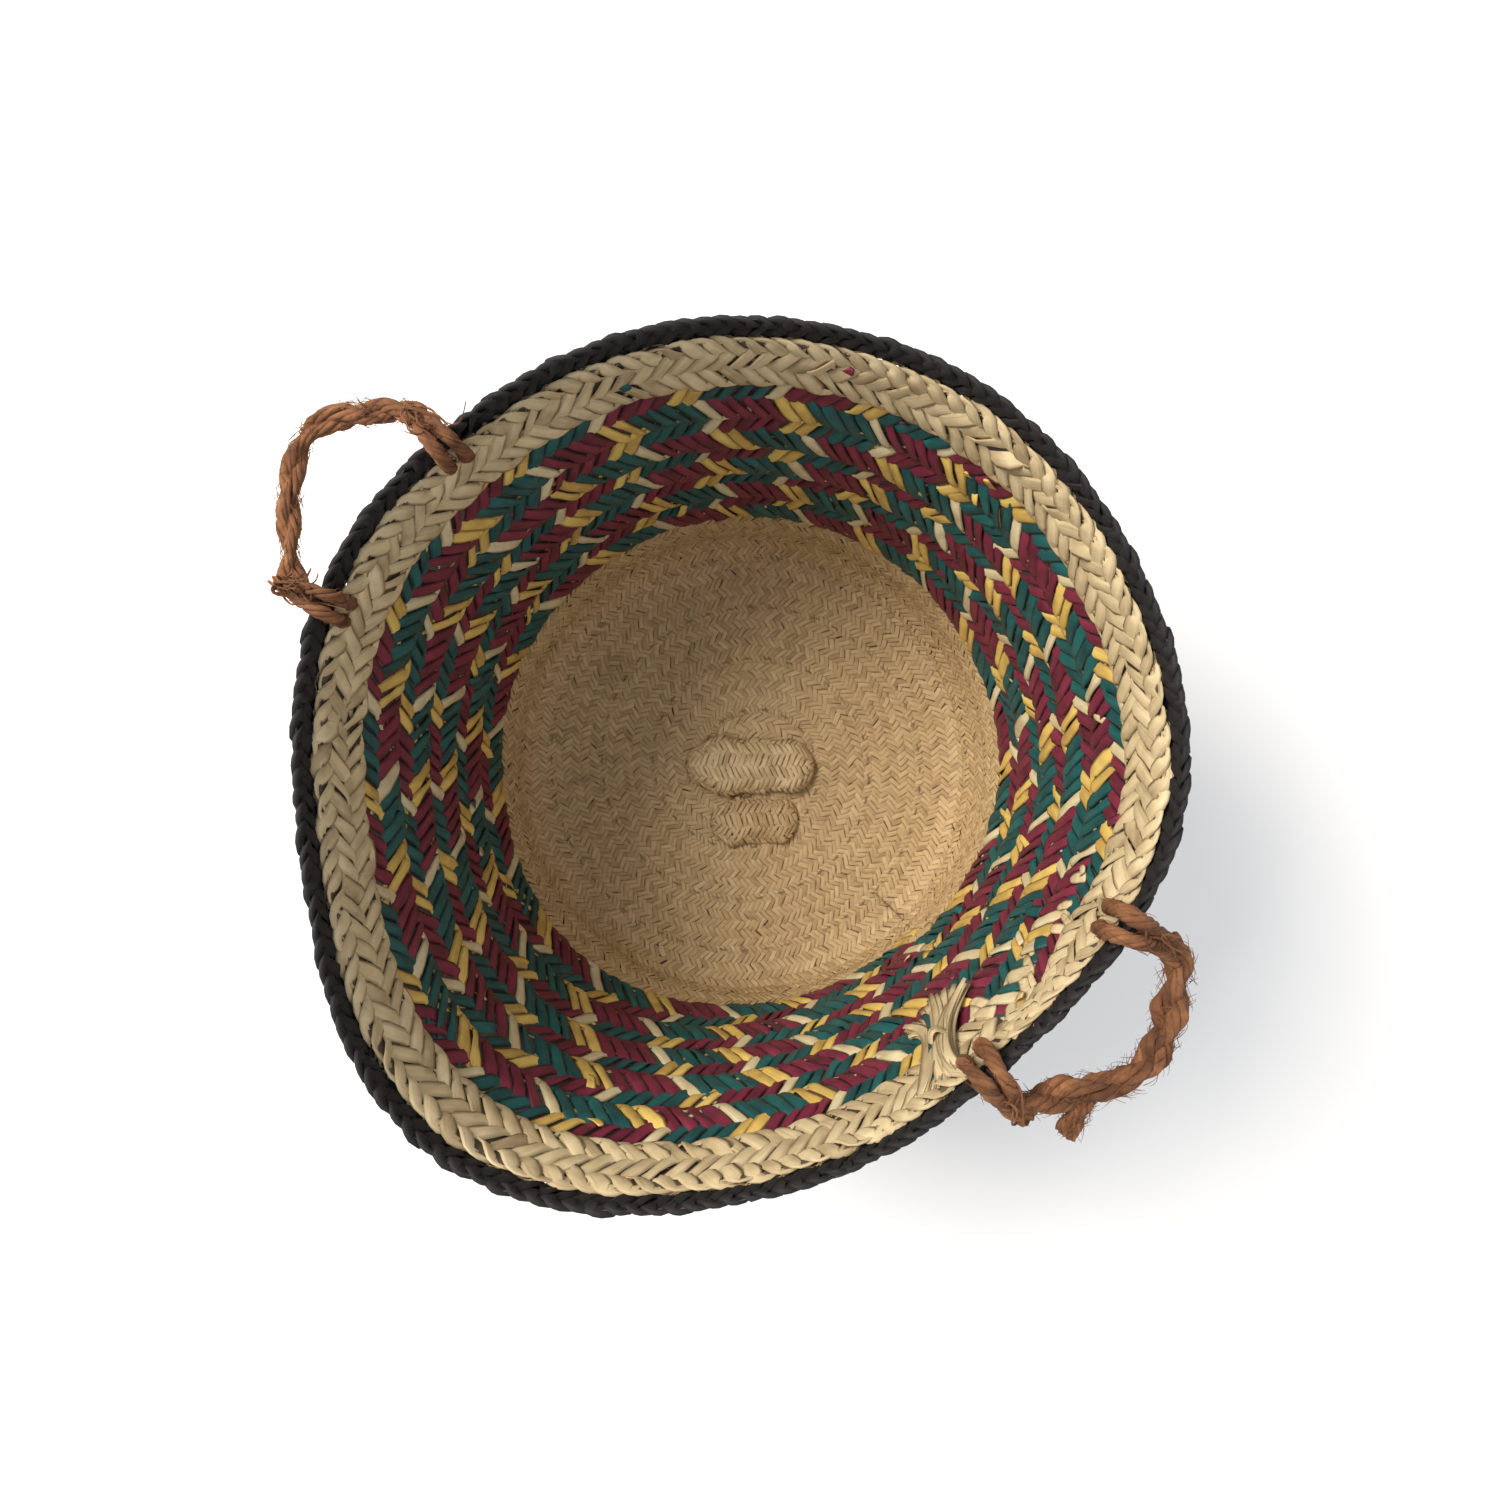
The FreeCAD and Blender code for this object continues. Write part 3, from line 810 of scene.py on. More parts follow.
@dataclass
class SpiralStrip:
    """The long strip that winds from the middle of the floor to the top of the wall.

    Angles along the strip count clockwise, seen from above, from where the dyed leaves start.
    For each dyed row, yellow_at is the azimuth, in degrees, of a yellow leaf in the back of the
    basket, and repeats counts the colour repeats before it. The first and last rate are colour
    repeats in a turn before the first of these leaves and after the last.
    """

    shape: BasketShape
    start_azimuth: float = math.radians(-45.0)
    floor_pitch: float = 0.041
    inner_start: float = 0.003
    dyed_low: float = 0.060
    dyed_climb: float = 0.036
    dyed_turns: int = 5
    band_share: float = 0.95
    lap: float = 0.0055
    tuck: float = 0.013
    settle: float = 20.0 / 360.0
    natural_tooth: float = 0.0046
    yellow_at: tuple[float, ...] = (93.2, 108.8, 94.8, 92.4, 82.0)
    repeats: tuple[int, ...] = (0, 11, 24, 36, 49)
    first_rate: float = 11.5
    last_rate: float = 13.0
    plait: Plait = Plait(
        strands=11, turning_rows=(4, 7), leaf_width=0.0080,
        relief=0.0009, crown=0.0008, seed=7, slack=2.3,
    )
    natural: Plait = Plait(
        strands=19, turning_rows=(2, 5, 8, 11, 14, 17), leaf_width=0.0043,
        relief=0.0005, crown=0.00045, seed=9, slack=1.6, steep=0.8,
    )

    def __post_init__(self) -> None:
        """Work out the natural stretch's length and the tooth count along the strip."""
        self.low_along = self.shape.along_at(self.dyed_low)
        self.first = -(self.low_along - self.inner_start) / self.floor_pitch * TURN - TURN
        self.band_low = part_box("rim_strip")[0].z
        self.top_seam = self.shape.along_at(self.band_low)
        grid = np.arange(self.first, (self.dyed_turns + 1) * TURN + 0.05, 0.02)
        middle = (self.seam(grid) + self.seam(grid + TURN)) / 2
        wall = self.shape.flat_radius + self.shape.corner_radius
        rate = np.minimum(middle, wall) / self.natural_tooth
        counts = np.concatenate([[0.0], np.cumsum((rate[1:] + rate[:-1]) / 2 * np.diff(grid))])
        counts -= np.interp(0.0, grid, counts)
        dyed = self._dyed_counts(grid)
        self.angles = grid
        self.counts = np.where(grid < 0, counts + float(np.interp(0.0, grid, dyed)), dyed)

    def _dyed_counts(self, angle: np.ndarray) -> np.ndarray:
        """Tooth numbers of the dyed stretch, from where each turn's first yellow leaves lie.

        Args:
            angle: angles along the strip.

        Returns:
            The tooth numbers.
        """
        leaves = self.plait.strands
        first = math.degrees(self.start_azimuth) + 360.0
        turned = [first - azimuth + 360.0 * row for row, azimuth in enumerate(self.yellow_at)]
        counts = [leaves * number - 0.25 for number in self.repeats]
        end = 360.0 * (self.dyed_turns + 1) + 10.0
        turned = [-10.0, *turned, end]
        before = counts[0] - self.first_rate * leaves * (turned[1] + 10.0) / 360.0
        after = counts[-1] + self.last_rate * leaves * (end - turned[-2]) / 360.0
        return np.interp(np.degrees(angle), turned, [before, *counts, after])

    def _row(self, row: np.ndarray, share: np.ndarray) -> np.ndarray:
        """Height of a dyed row's lower edge, part of the way round."""
        low = self.dyed_low + self.dyed_climb * share
        return low + (self.band_low - low) * row / (self.dyed_turns + self.band_share)

    def seam(self, angle: np.ndarray) -> np.ndarray:
        """Distance along the profile of the strip's lower edge at an angle along the strip.

        Args:
            angle: angles along the strip.

        Returns:
            The distances from the middle of the floor.
        """
        angle = np.asarray(angle, float)
        natural = self.low_along + self.floor_pitch * angle / TURN
        row = np.floor(angle / TURN)
        share = angle / TURN - row
        settled = smooth_step((share - (1 - self.settle)) / self.settle)
        height = self._row(row, share) * (1 - settled)
        height = height + self._row(row + 1, np.zeros_like(share)) * settled
        height = np.where(angle >= (self.dyed_turns + 1) * TURN, self.band_low, height)
        height = np.minimum(height, self.band_low)
        return np.where(angle < 0, np.maximum(natural, 0.002), self.shape.along_at(height))

    def angle(self, teeth: np.ndarray) -> np.ndarray:
        """Angle along the strip at a tooth number."""
        return np.interp(teeth, self.counts, self.angles)

    def tooth_at(self, angle: float) -> float:
        """Tooth number at an angle along the strip."""
        return float(np.interp(angle, self.angles, self.counts))

    def _edges(self, angle: np.ndarray) -> tuple[np.ndarray, np.ndarray, np.ndarray]:
        """Edges of the strip, with what it laps and tucks behind its neighbours.

        Args:
            angle: angles along the strip.

        Returns:
            Lower and upper edge along the profile, and how far up the wall, from 0 to 1.
        """
        low, high = self.seam(angle), self.seam(angle + TURN)
        up = smooth_step((low - self.shape.flat_radius) / 0.05)
        lap = self.lap * (0.45 + 0.55 * up)
        tuck = self.tuck * (0.15 + 0.85 * up)
        tucked = np.minimum(high + tuck, self.top_seam + 0.004)
        return low - lap, np.maximum(tucked, low + 0.004), up

    def surface(self, teeth: np.ndarray, across: np.ndarray, lift: np.ndarray) -> np.ndarray:
        """Point of the strip; the lower edge laps inside the turn before it.

        Args:
            teeth: tooth numbers.
            across: places across, from 0 at the lower edge to 1.
            lift: distance into the basket.

        Returns:
            The points, with a last axis of 3.
        """
        angle = self.angle(teeth)
        low, high, up = self._edges(angle)
        shingle = 0.00125 - 0.0025 * smooth_step((across - 0.25) / 0.45)
        along = low + (high - low) * across
        lifted = lift + shingle * (0.35 + 0.65 * up)
        return self.shape.point(along, self.start_azimuth - angle, lifted)

    def pitch(self, teeth: np.ndarray) -> tuple[np.ndarray, np.ndarray]:
        """Length of a tooth, and the strip's width, at a tooth number.

        Args:
            teeth: tooth numbers.

        Returns:
            The lengths and the widths.
        """
        angle = self.angle(teeth)
        rate = np.interp(angle, self.angles, np.gradient(self.angles, self.counts))
        low, high, _ = self._edges(angle)
        points = self.shape.point((low + high) / 2, self.start_azimuth - angle, 0.0 * angle)
        radius = np.hypot(points[..., 0], points[..., 1])
        return np.maximum(rate * radius, 0.004), np.maximum(high - low, 0.012)

    def _slots(self, strand: int, teeth: np.ndarray) -> np.ndarray:
        """Slots of a leaf of the strip: natural at first, then dyed, and cream at the end.

        Args:
            strand: the leaf's own number.
            teeth: tooth numbers along it.

        Returns:
            A slot number for each.
        """
        sequence = [1, 1, 4, 4, 4, 4, 3, 2, 2, 2, 2]
        rng = np.random.default_rng(91 + strand)
        begin = rng.uniform(-0.10, 0.04)
        finish = self.dyed_turns * TURN - rng.uniform(0.0, 0.42) * (strand % 2 == 0)
        angle = self.angle(teeth)
        dyed = (angle >= begin) & (angle < finish)
        return np.where(dyed, sequence[strand], np.where(angle > 1.0, 3, 0))

    def piece(self, name: str, first: float, last: float, nodes: Sequence[str]) -> None:
        """Plait one stretch of the strip.

        Args:
            name: the piece's name.
            first: angle along the strip where it starts.
            last: angle where it ends.
            nodes: CAD nodes that it stands for.
        """
        skin = Skin()
        span = self.tooth_at(first), self.tooth_at(last)
        finishes = [Leaf.NATURAL, Leaf.YELLOW, Leaf.MAROON, Leaf.CREAM, Leaf.GREEN, Leaf.BUTTS]
        plait, slots = (self.plait, self._slots) if last > 0 else (self.natural, plain_slots)
        plait.lay(skin, span, self.surface, self.pitch, slots)
        # The dark sheet laid by fill is painted shade in the plait's gaps.
        plait.fill(skin, span, self.surface, len(finishes) - 1)
        finish_piece(skin.build(name, finishes), BASKET, nodes)

    def build(self) -> None:
        """Plait the floor, the corner, the natural wall and the dyed turns."""
        split, corner = -3.2 * TURN, -2 * TURN
        inner, outer = ["floor_centre", "floor_turn_1"], ["floor_turn_2", "floor_turn_3"]
        self.piece("plait_floor_inner", self.first, split, inner)
        self.piece("plait_floor_outer", split, corner, outer)
        self.piece("plait_corner", corner, -TURN, ["corner_turn"])
        self.piece("plait_natural_wall", -TURN, 0.0, ["natural_wall_turn"])
        for turn in range(self.dyed_turns):
            nodes = [f"coloured_turn_{turn + 1}"]
            start = turn * TURN - (0.07 if turn == 0 else 0.0)
            self.piece(f"plait_dyed_{turn + 1}", start, (turn + 1) * TURN, nodes)


@dataclass
class Band:
    """A closed or one-turn strip on the wall, with its own plait."""

    spiral: SpiralStrip
    name: str
    node: str
    slot: str
    leaf: Leaf
    plait: Plait
    teeth: int
    lift_low: float
    lift_high: float
    reach_low: float
    reach_high: float

    def _edges(self, angle: np.ndarray) -> tuple[np.ndarray, np.ndarray]:
        """Lower and upper edge of the band along the profile."""
        raise NotImplementedError

    def surface(self, teeth: np.ndarray, across: np.ndarray, lift: np.ndarray) -> np.ndarray:
        """Point of the band.

        Args:
            teeth: tooth numbers.
            across: places across, from 0 at the lower edge to 1.
            lift: distance into the basket.

        Returns:
            The points, with a last axis of 3.
        """
        angle = teeth / self.teeth * TURN
        low, high = self._edges(angle)
        along = low + (high - low) * across
        own = self.lift_low + (self.lift_high - self.lift_low) * across
        return self.spiral.shape.point(along, self.spiral.start_azimuth - angle, lift + own)

    def pitch(self, teeth: np.ndarray) -> tuple[np.ndarray, np.ndarray]:
        """Length of a tooth, and the band's width.

        Args:
            teeth: tooth numbers.

        Returns:
            The lengths and the widths.
        """
        angle = teeth / self.teeth * TURN
        low, high = self._edges(angle)
        points = self.spiral.shape.point(low, self.spiral.start_azimuth - angle, 0.0 * angle)
        radius = np.hypot(points[..., 0], points[..., 1])
        return radius * TURN / self.teeth, np.maximum(high - low, 0.008)

    def build(self) -> None:
        """Plait the band."""
        skin = Skin()
        span = 0.0, float(self.teeth)
        self.plait.lay(skin, span, self.surface, self.pitch, plain_slots)
        # The dark sheet laid by fill is painted shade in the plait's gaps.
        self.plait.fill(skin, (0.0, self.teeth + 0.2), self.surface, 1)
        made = skin.build(self.name, [self.leaf, Leaf.BUTTS])
        finish_piece(made, BASKET, [self.node])


class TopBand(Band):
    """One turn of coarse pale strip above the dyed turns."""

    def _edges(self, angle: np.ndarray) -> tuple[np.ndarray, np.ndarray]:
        """Lower edge on the last dyed turn, level upper edge.

        Args:
            angle: angles along the band.

        Returns:
            Lower and upper edge along the profile.
        """
        turns = self.spiral.dyed_turns * TURN
        low = self.spiral.seam(turns + np.clip(angle, 0.0, TURN - 1e-6)) - self.reach_low
        high = self.spiral.shape.along_at(self.spiral.band_low) + self.reach_high
        return np.minimum(low, high - 0.016), high + 0.0 * angle


class RimBand(Band):
    """Black strip that closes the mouth."""

    def _edges(self, angle: np.ndarray) -> tuple[np.ndarray, np.ndarray]:
        """Level edges, behind the pale band below and at the top of the rim.

        Args:
            angle: angles along the band.

        Returns:
            Lower and upper edge along the profile.
        """
        low = self.spiral.shape.along_at(self.spiral.band_low) - self.reach_low
        high = self.spiral.shape.along_at(self.spiral.shape.rim_top) - self.reach_high
        return low + 0.0 * angle, high + 0.0 * angle


def finish_piece(made: bpy.types.Object, body: str, nodes: Sequence[str]) -> None:
    """Put a piece on its body and let it stand for its CAD nodes.

    Args:
        made: the piece.
        body: the body it rides on.
        nodes: CAD nodes that it stands for.
    """
    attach(made, body)
    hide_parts(*nodes)
    log.info("%s: %d faces on %s", made.name, len(made.data.polygons), body)


# ---------------------------------------------------------------- rope


def smooth_line(controls: Sequence[Vector], spacing: float) -> np.ndarray:
    """Points of a smooth line near some control points.

    Args:
        controls: control points of an open NURBS spline, metres.
        spacing: rough distance between two points.

    Returns:
        The points, evenly spaced.
    """
    data = bpy.data.curves.new("line", "CURVE")
    data.dimensions = "3D"
    data.resolution_u = 24
    spline = data.splines.new("NURBS")
    spline.points.add(len(controls) - 1)
    for point, control in zip(spline.points, controls):
        point.co = (*control, 1.0)
    spline.order_u = 3
    spline.use_endpoint_u = True
    carrier = bpy.data.objects.new("line", data)
    bpy.context.scene.collection.objects.link(carrier)
    bpy.context.view_layer.update()
    graph = bpy.context.evaluated_depsgraph_get()
    mesh = bpy.data.meshes.new_from_object(carrier.evaluated_get(graph))
    points = np.array([v.co for v in mesh.vertices])
    bpy.data.meshes.remove(mesh)
    bpy.data.objects.remove(carrier)
    bpy.data.curves.remove(data)
    run = distances(points)
    even = np.linspace(0.0, run[-1], max(4, int(run[-1] / spacing) + 1))
    return np.stack([np.interp(even, run, points[:, k]) for k in range(3)], axis=1)


def jitter(rng: np.random.Generator, size: float) -> Vector:
    """A random short way in any direction."""
    return Vector(rng.normal(0.0, size, 3))


def sides_of(points: np.ndarray) -> tuple[np.ndarray, np.ndarray]:
    """Two directions square to a line, carried along it without twist.

    Args:
        points: the line.

    Returns:
        Two unit vectors for each point.
    """
    tangents = np.gradient(points, axis=0)
    tangents /= np.linalg.norm(tangents, axis=1, keepdims=True)
    first = np.cross(tangents[0], (0.0, 0.0, 1.0))
    if np.linalg.norm(first) < 0.1:
        first = np.cross(tangents[0], (1.0, 0.0, 0.0))
    normals = []
    for tangent in tangents:
        first = first - tangent * np.dot(first, tangent)
        first = first / np.linalg.norm(first)
        normals.append(first)
    normal = np.array(normals)
    return normal, np.cross(tangents, normal)


@dataclass
class Rope:
    """Hand-twisted fibre rope: plies, each of several yarns, with hairs that stand off.

    Twist is in turns to the metre, and each ply's yarns twist back against it. A ply's size and
    reach are shares of the rope's radius, and a yarn's are shares of its ply's.
    """

    radius: float
    plies: int = 2
    yarns: int = 6
    twist: float = 19.0
    hairs: int = 320
    sides: int = 6
    uneven: float = 0.13
    ply_size: float = 0.66
    ply_reach: float = 0.42
    yarn_size: float = 0.43
    yarn_reach: float = 0.60
    back_twist: float = 1.3

    def yarn(self, skin: Skin, line: np.ndarray, size: np.ndarray, number: float) -> None:
        """Add a round yarn along a line.

        Args:
            skin: mesh that takes it.
            line: its middle line.
            size: its radius at each point.
            number: what its colour is drawn from.
        """
        normal, other = sides_of(line)
        around = np.linspace(0, TURN, self.sides, endpoint=False)
        ring = np.cos(around)[None, :, None] * normal[:, None]
        ring = ring + np.sin(around)[None, :, None] * other[:, None]
        rings = line[:, None] + ring * size[:, None, None]
        run = distances(line)
        facts = np.zeros(rings.shape)
        facts[..., 0] = run[:, None]
        facts[..., 1] = around[None] * size[:, None]
        facts[..., 2] = number
        skin.tube(rings, facts, np.zeros(len(line) - 1, int))

    def lay(self, skin: Skin, line: np.ndarray, seed: int, taper: float = 0.0) -> None:
        """Lay the rope along a line.

        Args:
            skin: mesh that takes it.
            line: centreline, evenly spaced.
            seed: random seed.
            taper: share of the rope's thickness lost at its far end.
        """
        rng = np.random.default_rng(seed)
        normal, other = sides_of(line)
        run = distances(line)
        thin = 1.0 - taper * smooth_step(run / run[-1])
        stretch = self.radius * thin * (1 + wobble(rng, run, 0.012, self.uneven))
        turned = self.twist * run * TURN + wobble(rng, run, 0.02, 0.35)
        single = self.plies == 1
        ply_radius = stretch * (1.0 if single else self.ply_size)
        for ply in range(self.plies):
            angle = turned + TURN * ply / self.plies
            reach = 0.0 * stretch
            if not single:
                reach = stretch * self.ply_reach * (1 + wobble(rng, run, 0.02, 0.14))
            middle = line + (np.cos(angle) * reach)[:, None] * normal
            middle = middle + (np.sin(angle) * reach)[:, None] * other
            for yarn in range(self.yarns):
                start = TURN * yarn / self.yarns + rng.uniform(-0.3, 0.3)
                own = start - self.back_twist * turned
                off = ply_radius * self.yarn_reach * (1 + wobble(rng, run, 0.009, 0.14))
                path = middle + (np.cos(own) * off)[:, None] * normal
                path = path + (np.sin(own) * off)[:, None] * other
                size = ply_radius * self.yarn_size * (1 + wobble(rng, run, 0.006, 0.12))
                self.yarn(skin, path, size, rng.uniform(0, 90))
        self._hairs(skin, line, stretch, rng)

    def _hairs(
        self, skin: Skin, line: np.ndarray, reach: np.ndarray, rng: np.random.Generator
    ) -> None:
        """Add thin hairs that leave the rope at a low angle.

        Args:
            skin: mesh that takes them.
            line: the rope's centreline.
            reach: the rope's radius at each point.
            rng: random source.
        """
        hair = Rope(0.0, sides=4)
        furthest = 1.28 * self.radius + 0.001
        normal, other = sides_of(line)
        for _ in range(self.hairs):
            start = rng.integers(1, len(line) - 4)
            span = min(int(rng.integers(3, 9)), len(line) - 1 - start)
            picked = np.arange(start, start + span + 1)
            if rng.random() < 0.5:
                picked = picked[::-1]
            angle = rng.uniform(0, TURN) + np.linspace(0, rng.uniform(-1.2, 1.2), len(picked))
            lift = np.linspace(0.9, rng.uniform(1.05, 1.35), len(picked)) ** 1.5
            off = np.minimum(reach[picked] * lift, furthest)
            path = line[picked] + (np.cos(angle) * off)[:, None] * normal[picked]
            path = path + (np.sin(angle) * off)[:, None] * other[picked]
            size = np.linspace(0.00022, 0.00007, len(picked))
            hair.yarn(skin, path, size, rng.uniform(0, 90))


@dataclass
class Handle:
    """A rope hand loop: the bow, which swings, and its two forked ends, which hold the rim.

    Routes are in metres in the bow's own plane: along the hinge line, and out from it.
    """

    side: str
    route: tuple[tuple[float, float], ...]
    diameter: float
    ply: float
    spread: float
    tangle: int
    first_run: float = 0.010
    droop: float = math.radians(10.0)
    spacing: float = 0.0011

    def __post_init__(self) -> None:
        """Find the hinge line and the bow's directions from the frame."""
        joints = frame["record"]["behaviour"]["joints"]
        joint = next(j for j in joints if j["name"] == f"{self.side}_handle_swing")
        self.body = f"{self.side}_handle"
        self.middle = Vector(joint["pos_m"])
        self.along = Vector(joint["axis"]).normalized()
        eyes = [self._centre(f"{self.side}_eye_{letter}") for letter in "ab"]
        if self.along.dot(eyes[1] - eyes[0]) < 0:
            self.along.negate()
        level = Vector((self.middle.x, self.middle.y, 0.0))
        level -= self.along * level.dot(self.along)
        level.normalize()
        self.out = level * math.cos(self.droop) - Vector((0, 0, math.sin(self.droop)))
        rope = frame["nodes"][f"{self.side}_handle_rope"]
        places = [rope.matrix_world @ v.co - self.middle for v in rope.data.vertices]
        reached = [place.dot(self.along) for place in places]
        self.reach = (max(reached) - min(reached)) / 2 - self.diameter / 2
        self.eyes = eyes

    @staticmethod
    def _centre(node: str) -> Vector:
        """Middle of a CAD node's box."""
        low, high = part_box(node)
        return (Vector(low) + Vector(high)) / 2

    def at(self, along: float, out: float) -> Vector:
        """A point of the bow's plane."""
        return self.middle + self.along * along + self.out * out

    def controls(self) -> list[Vector]:
        """Control points of the bow's centreline, from eye a to eye b."""
        ends = [(-self.reach, 0.0), (-self.reach, self.first_run)]
        return [self.at(*point) for point in [*ends, *self.route, (self.reach, 0.0)]]

    def bow(self) -> None:
        line = smooth_line(self.controls(), self.spacing)
        skin = Skin()
        Rope(self.diameter / 2).lay(skin, line, 31 + len(self.side))
        made = skin.build(f"{self.side}_bow", [Leaf.ROPE])
        finish_piece(made, self.body, [f"{self.side}_handle_rope"])
        log.info("%s bow: rope of %.1f mm", self.side, distances(line)[-1] * 1000)

    def fork(self, letter: str) -> None:
        """Make one forked end: two plies over the rim, through the pale band and back.

        Args:
            letter: a or b, for the CAD eye that it stands for.
        """
        eye = self.eyes["ab".index(letter)]
        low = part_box(f"{self.side}_eye_{letter}")[0]
        out = Vector((eye.x, eye.y, 0.0)).normalized()
        side = Vector((-out.y, out.x, 0.0))
        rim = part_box("rim_strip")[1].z
        tie = self.at(-self.reach if letter == "a" else self.reach, 0.0)
        wall = Vector((eye.x, eye.y, rim))
        leg = (tie - wall).dot(out)
        skin = Skin()
        ply = Rope(self.ply / 2, plies=1, twist=30.0, hairs=60)
        for index, way in enumerate((-1, 1)):
            gap = self.spread * way
            # Out from the wall, along it, and up from the rim.
            steps = [
                (leg, gap * 0.35, tie.z - rim - 0.001 * way),
                (leg * 0.62, gap * 0.55, -0.001),
                (0.0055, gap * 0.85, 0.0065),
                (-0.0045, gap, 0.0060),
                (-0.0085, gap * 1.1, -0.004),
                (-0.0085, gap * 1.1, -0.015),
                (-0.0035, gap, low.z - rim + 0.006),
                (0.0035, gap * 0.9, low.z - rim + 0.005),
                (0.0085, gap * 0.7, -0.019),
                (0.0090, gap * 0.5, -0.012),
                (leg * 0.8, gap * 0.2, tie.z - rim - 0.002),
            ]
            points = [tie + self.out * 0.009 + side * gap * 0.3]
            points += [wall + out * a + side * b + Vector((0, 0, c)) for a, b, c in steps]
            seed = 7 * index + ord(letter) + len(self.side)
            ply.lay(skin, smooth_line(points, self.spacing), seed)
        rng = np.random.default_rng(ord(letter) + 5 * len(self.side))
        self._stray(skin, tie + self.out * 0.006, wall + Vector((0, 0, 0.004)), out * leg, rng)
        made = skin.build(f"{self.side}_fork_{letter}", [Leaf.ROPE])
        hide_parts(f"{self.side}_eye_{letter}")
        tuple(tie - self.out * 0.004)
        tuple(tie + self.out * 0.006)
        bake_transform(made)
        log.info("%s: %d faces", made.name, len(made.data.polygons))

    def _stray(
        self, skin: Skin, start: Vector, rim: Vector, leg: Vector, rng: np.random.Generator
    ) -> None:
        """Add the loose strands that have come out of a fork's plies.

        Args:
            skin: mesh that takes them.
            start: where they leave the tie.
            rim: just above the rim, on the wall's middle line.
            leg: from the wall to the tie, level.
            rng: random source.
        """
        strand = Rope(0.0008, plies=1, yarns=3, twist=20.0, hairs=6, sides=4)
        for _ in range(self.tangle):
            points = [start + jitter(rng, 0.002)]
            points += [rim + leg * share + jitter(rng, 0.005) for share in (0.8, 0.4, 0.1)]
            points += [points[-1] + jitter(rng, 0.004)]
            strand.lay(skin, smooth_line(points, 0.0015), int(rng.integers(1, 9999)), 0.6)

    def build(self, pieces_on_it: Sequence[bpy.types.Object] = ()) -> None:
        """Make the bow and both forked ends.

        Args:
            pieces_on_it: separate pieces that are part of the rope; not used.
        """
        self.bow()
        for letter in "ab":
            self.fork(letter)


class RightHandle(Handle):
    """The thicker hand loop, whose loose rope end stands off."""

    def loose_end(self) -> bpy.types.Object:
        """Make the frayed rope end.

        Returns:
            The piece.
        """
        start = self.at(0.022, 0.020)
        lean = math.radians(24.0)
        way = self.along * math.cos(lean) + self.out * math.sin(lean)
        tip = start + way * 0.026 - Vector((0, 0, 0.003))
        line = smooth_line([start, start + way * 0.012, tip], self.spacing)
        skin = Skin()
        Rope(0.0062, twist=26.0, hairs=110).lay(skin, line, seed=71, taper=0.15)
        made = skin.build("right_loose_end", [Leaf.ROPE])
        finish_piece(made, self.body, ["right_rope_end"])
        return made


# ---------------------------------------------------------------- folded start


@dataclass
class Mound:
    """A stretch of the strip, folded into a loaf that is sewn to the floor."""

    name: str
    node: str
    lean: float
    pits: tuple[tuple[float, float, float], ...]
    plait: Plait
    leaf: Leaf = Leaf.NATURAL
    tooth: float = 0.0048

    def build(self) -> None:
        """Plait the loaf over its CAD node."""
        low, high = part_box(self.node)
        self.low, self.high = Vector(low), Vector(high)
        self.count = (self.high.x - self.low.x) * 1.12 / self.tooth
        skin = Skin()
        self.plait.lay(skin, (0.0, self.count), self.surface, self.pitch, plain_slots)
        finish_piece(skin.build(self.name, [self.leaf]), BASKET, [self.node])

    def surface(self, teeth: np.ndarray, across: np.ndarray, lift: np.ndarray) -> np.ndarray:
        """Point of the loaf's skin.

        Args:
            teeth: tooth numbers.
            across: places across, over the loaf, from 0 to 1.
            lift: distance out of the loaf.

        Returns:
            The points, with a last axis of 3.
        """
        middle = (self.low + self.high) / 2
        half_x, half_y = (self.high - self.low).x / 2, (self.high - self.low).y / 2
        height = self.high.z - self.low.z
        u = np.clip(teeth / self.count * 2 - 1, -1.0, 1.0)
        slim = np.sqrt(np.clip(1 - np.abs(u) ** 3.2, 0.0, 1.0)) * 0.9 + 0.1
        slim = slim * (0.94 + 0.06 * np.sin(u * 5.3 + 40 * self.lean) + 0.05 * np.sin(u * 11.0))
        turn = math.pi * (1 - np.clip(across, -0.02, 1.02))
        y = np.cos(turn) * (half_y - 0.001 + lift) * slim
        rise = np.abs(np.sin(turn)) ** 0.75 * np.sign(np.sin(turn))
        z = rise * (height - 0.001) * slim + lift
        x = u * half_x + y * self.lean
        bend = 1.0 + 0.20 * np.sin(x * 120.0 + 1.0) * np.cos(y * 170.0) - 0.22 * (y / half_y)
        for pit_x, pit_y, size in self.pits:
            distance = ((x + middle.x - pit_x) ** 2 + (y + middle.y - pit_y) ** 2) / size**2
            bend = bend * (1 - 0.85 * np.exp(-distance))
        z = z * bend + self.low.z - 0.0006
        return np.stack([x + middle.x, y + middle.y, z], axis=-1)

    def pitch(self, teeth: np.ndarray) -> tuple[np.ndarray, np.ndarray]:
        """Length of a tooth, and the strip's width over the loaf."""
        width = (self.high - self.low).y * 1.25
        return np.full(len(teeth), self.tooth), np.full(len(teeth), width)


# ---------------------------------------------------------------- loose leaves and lacing


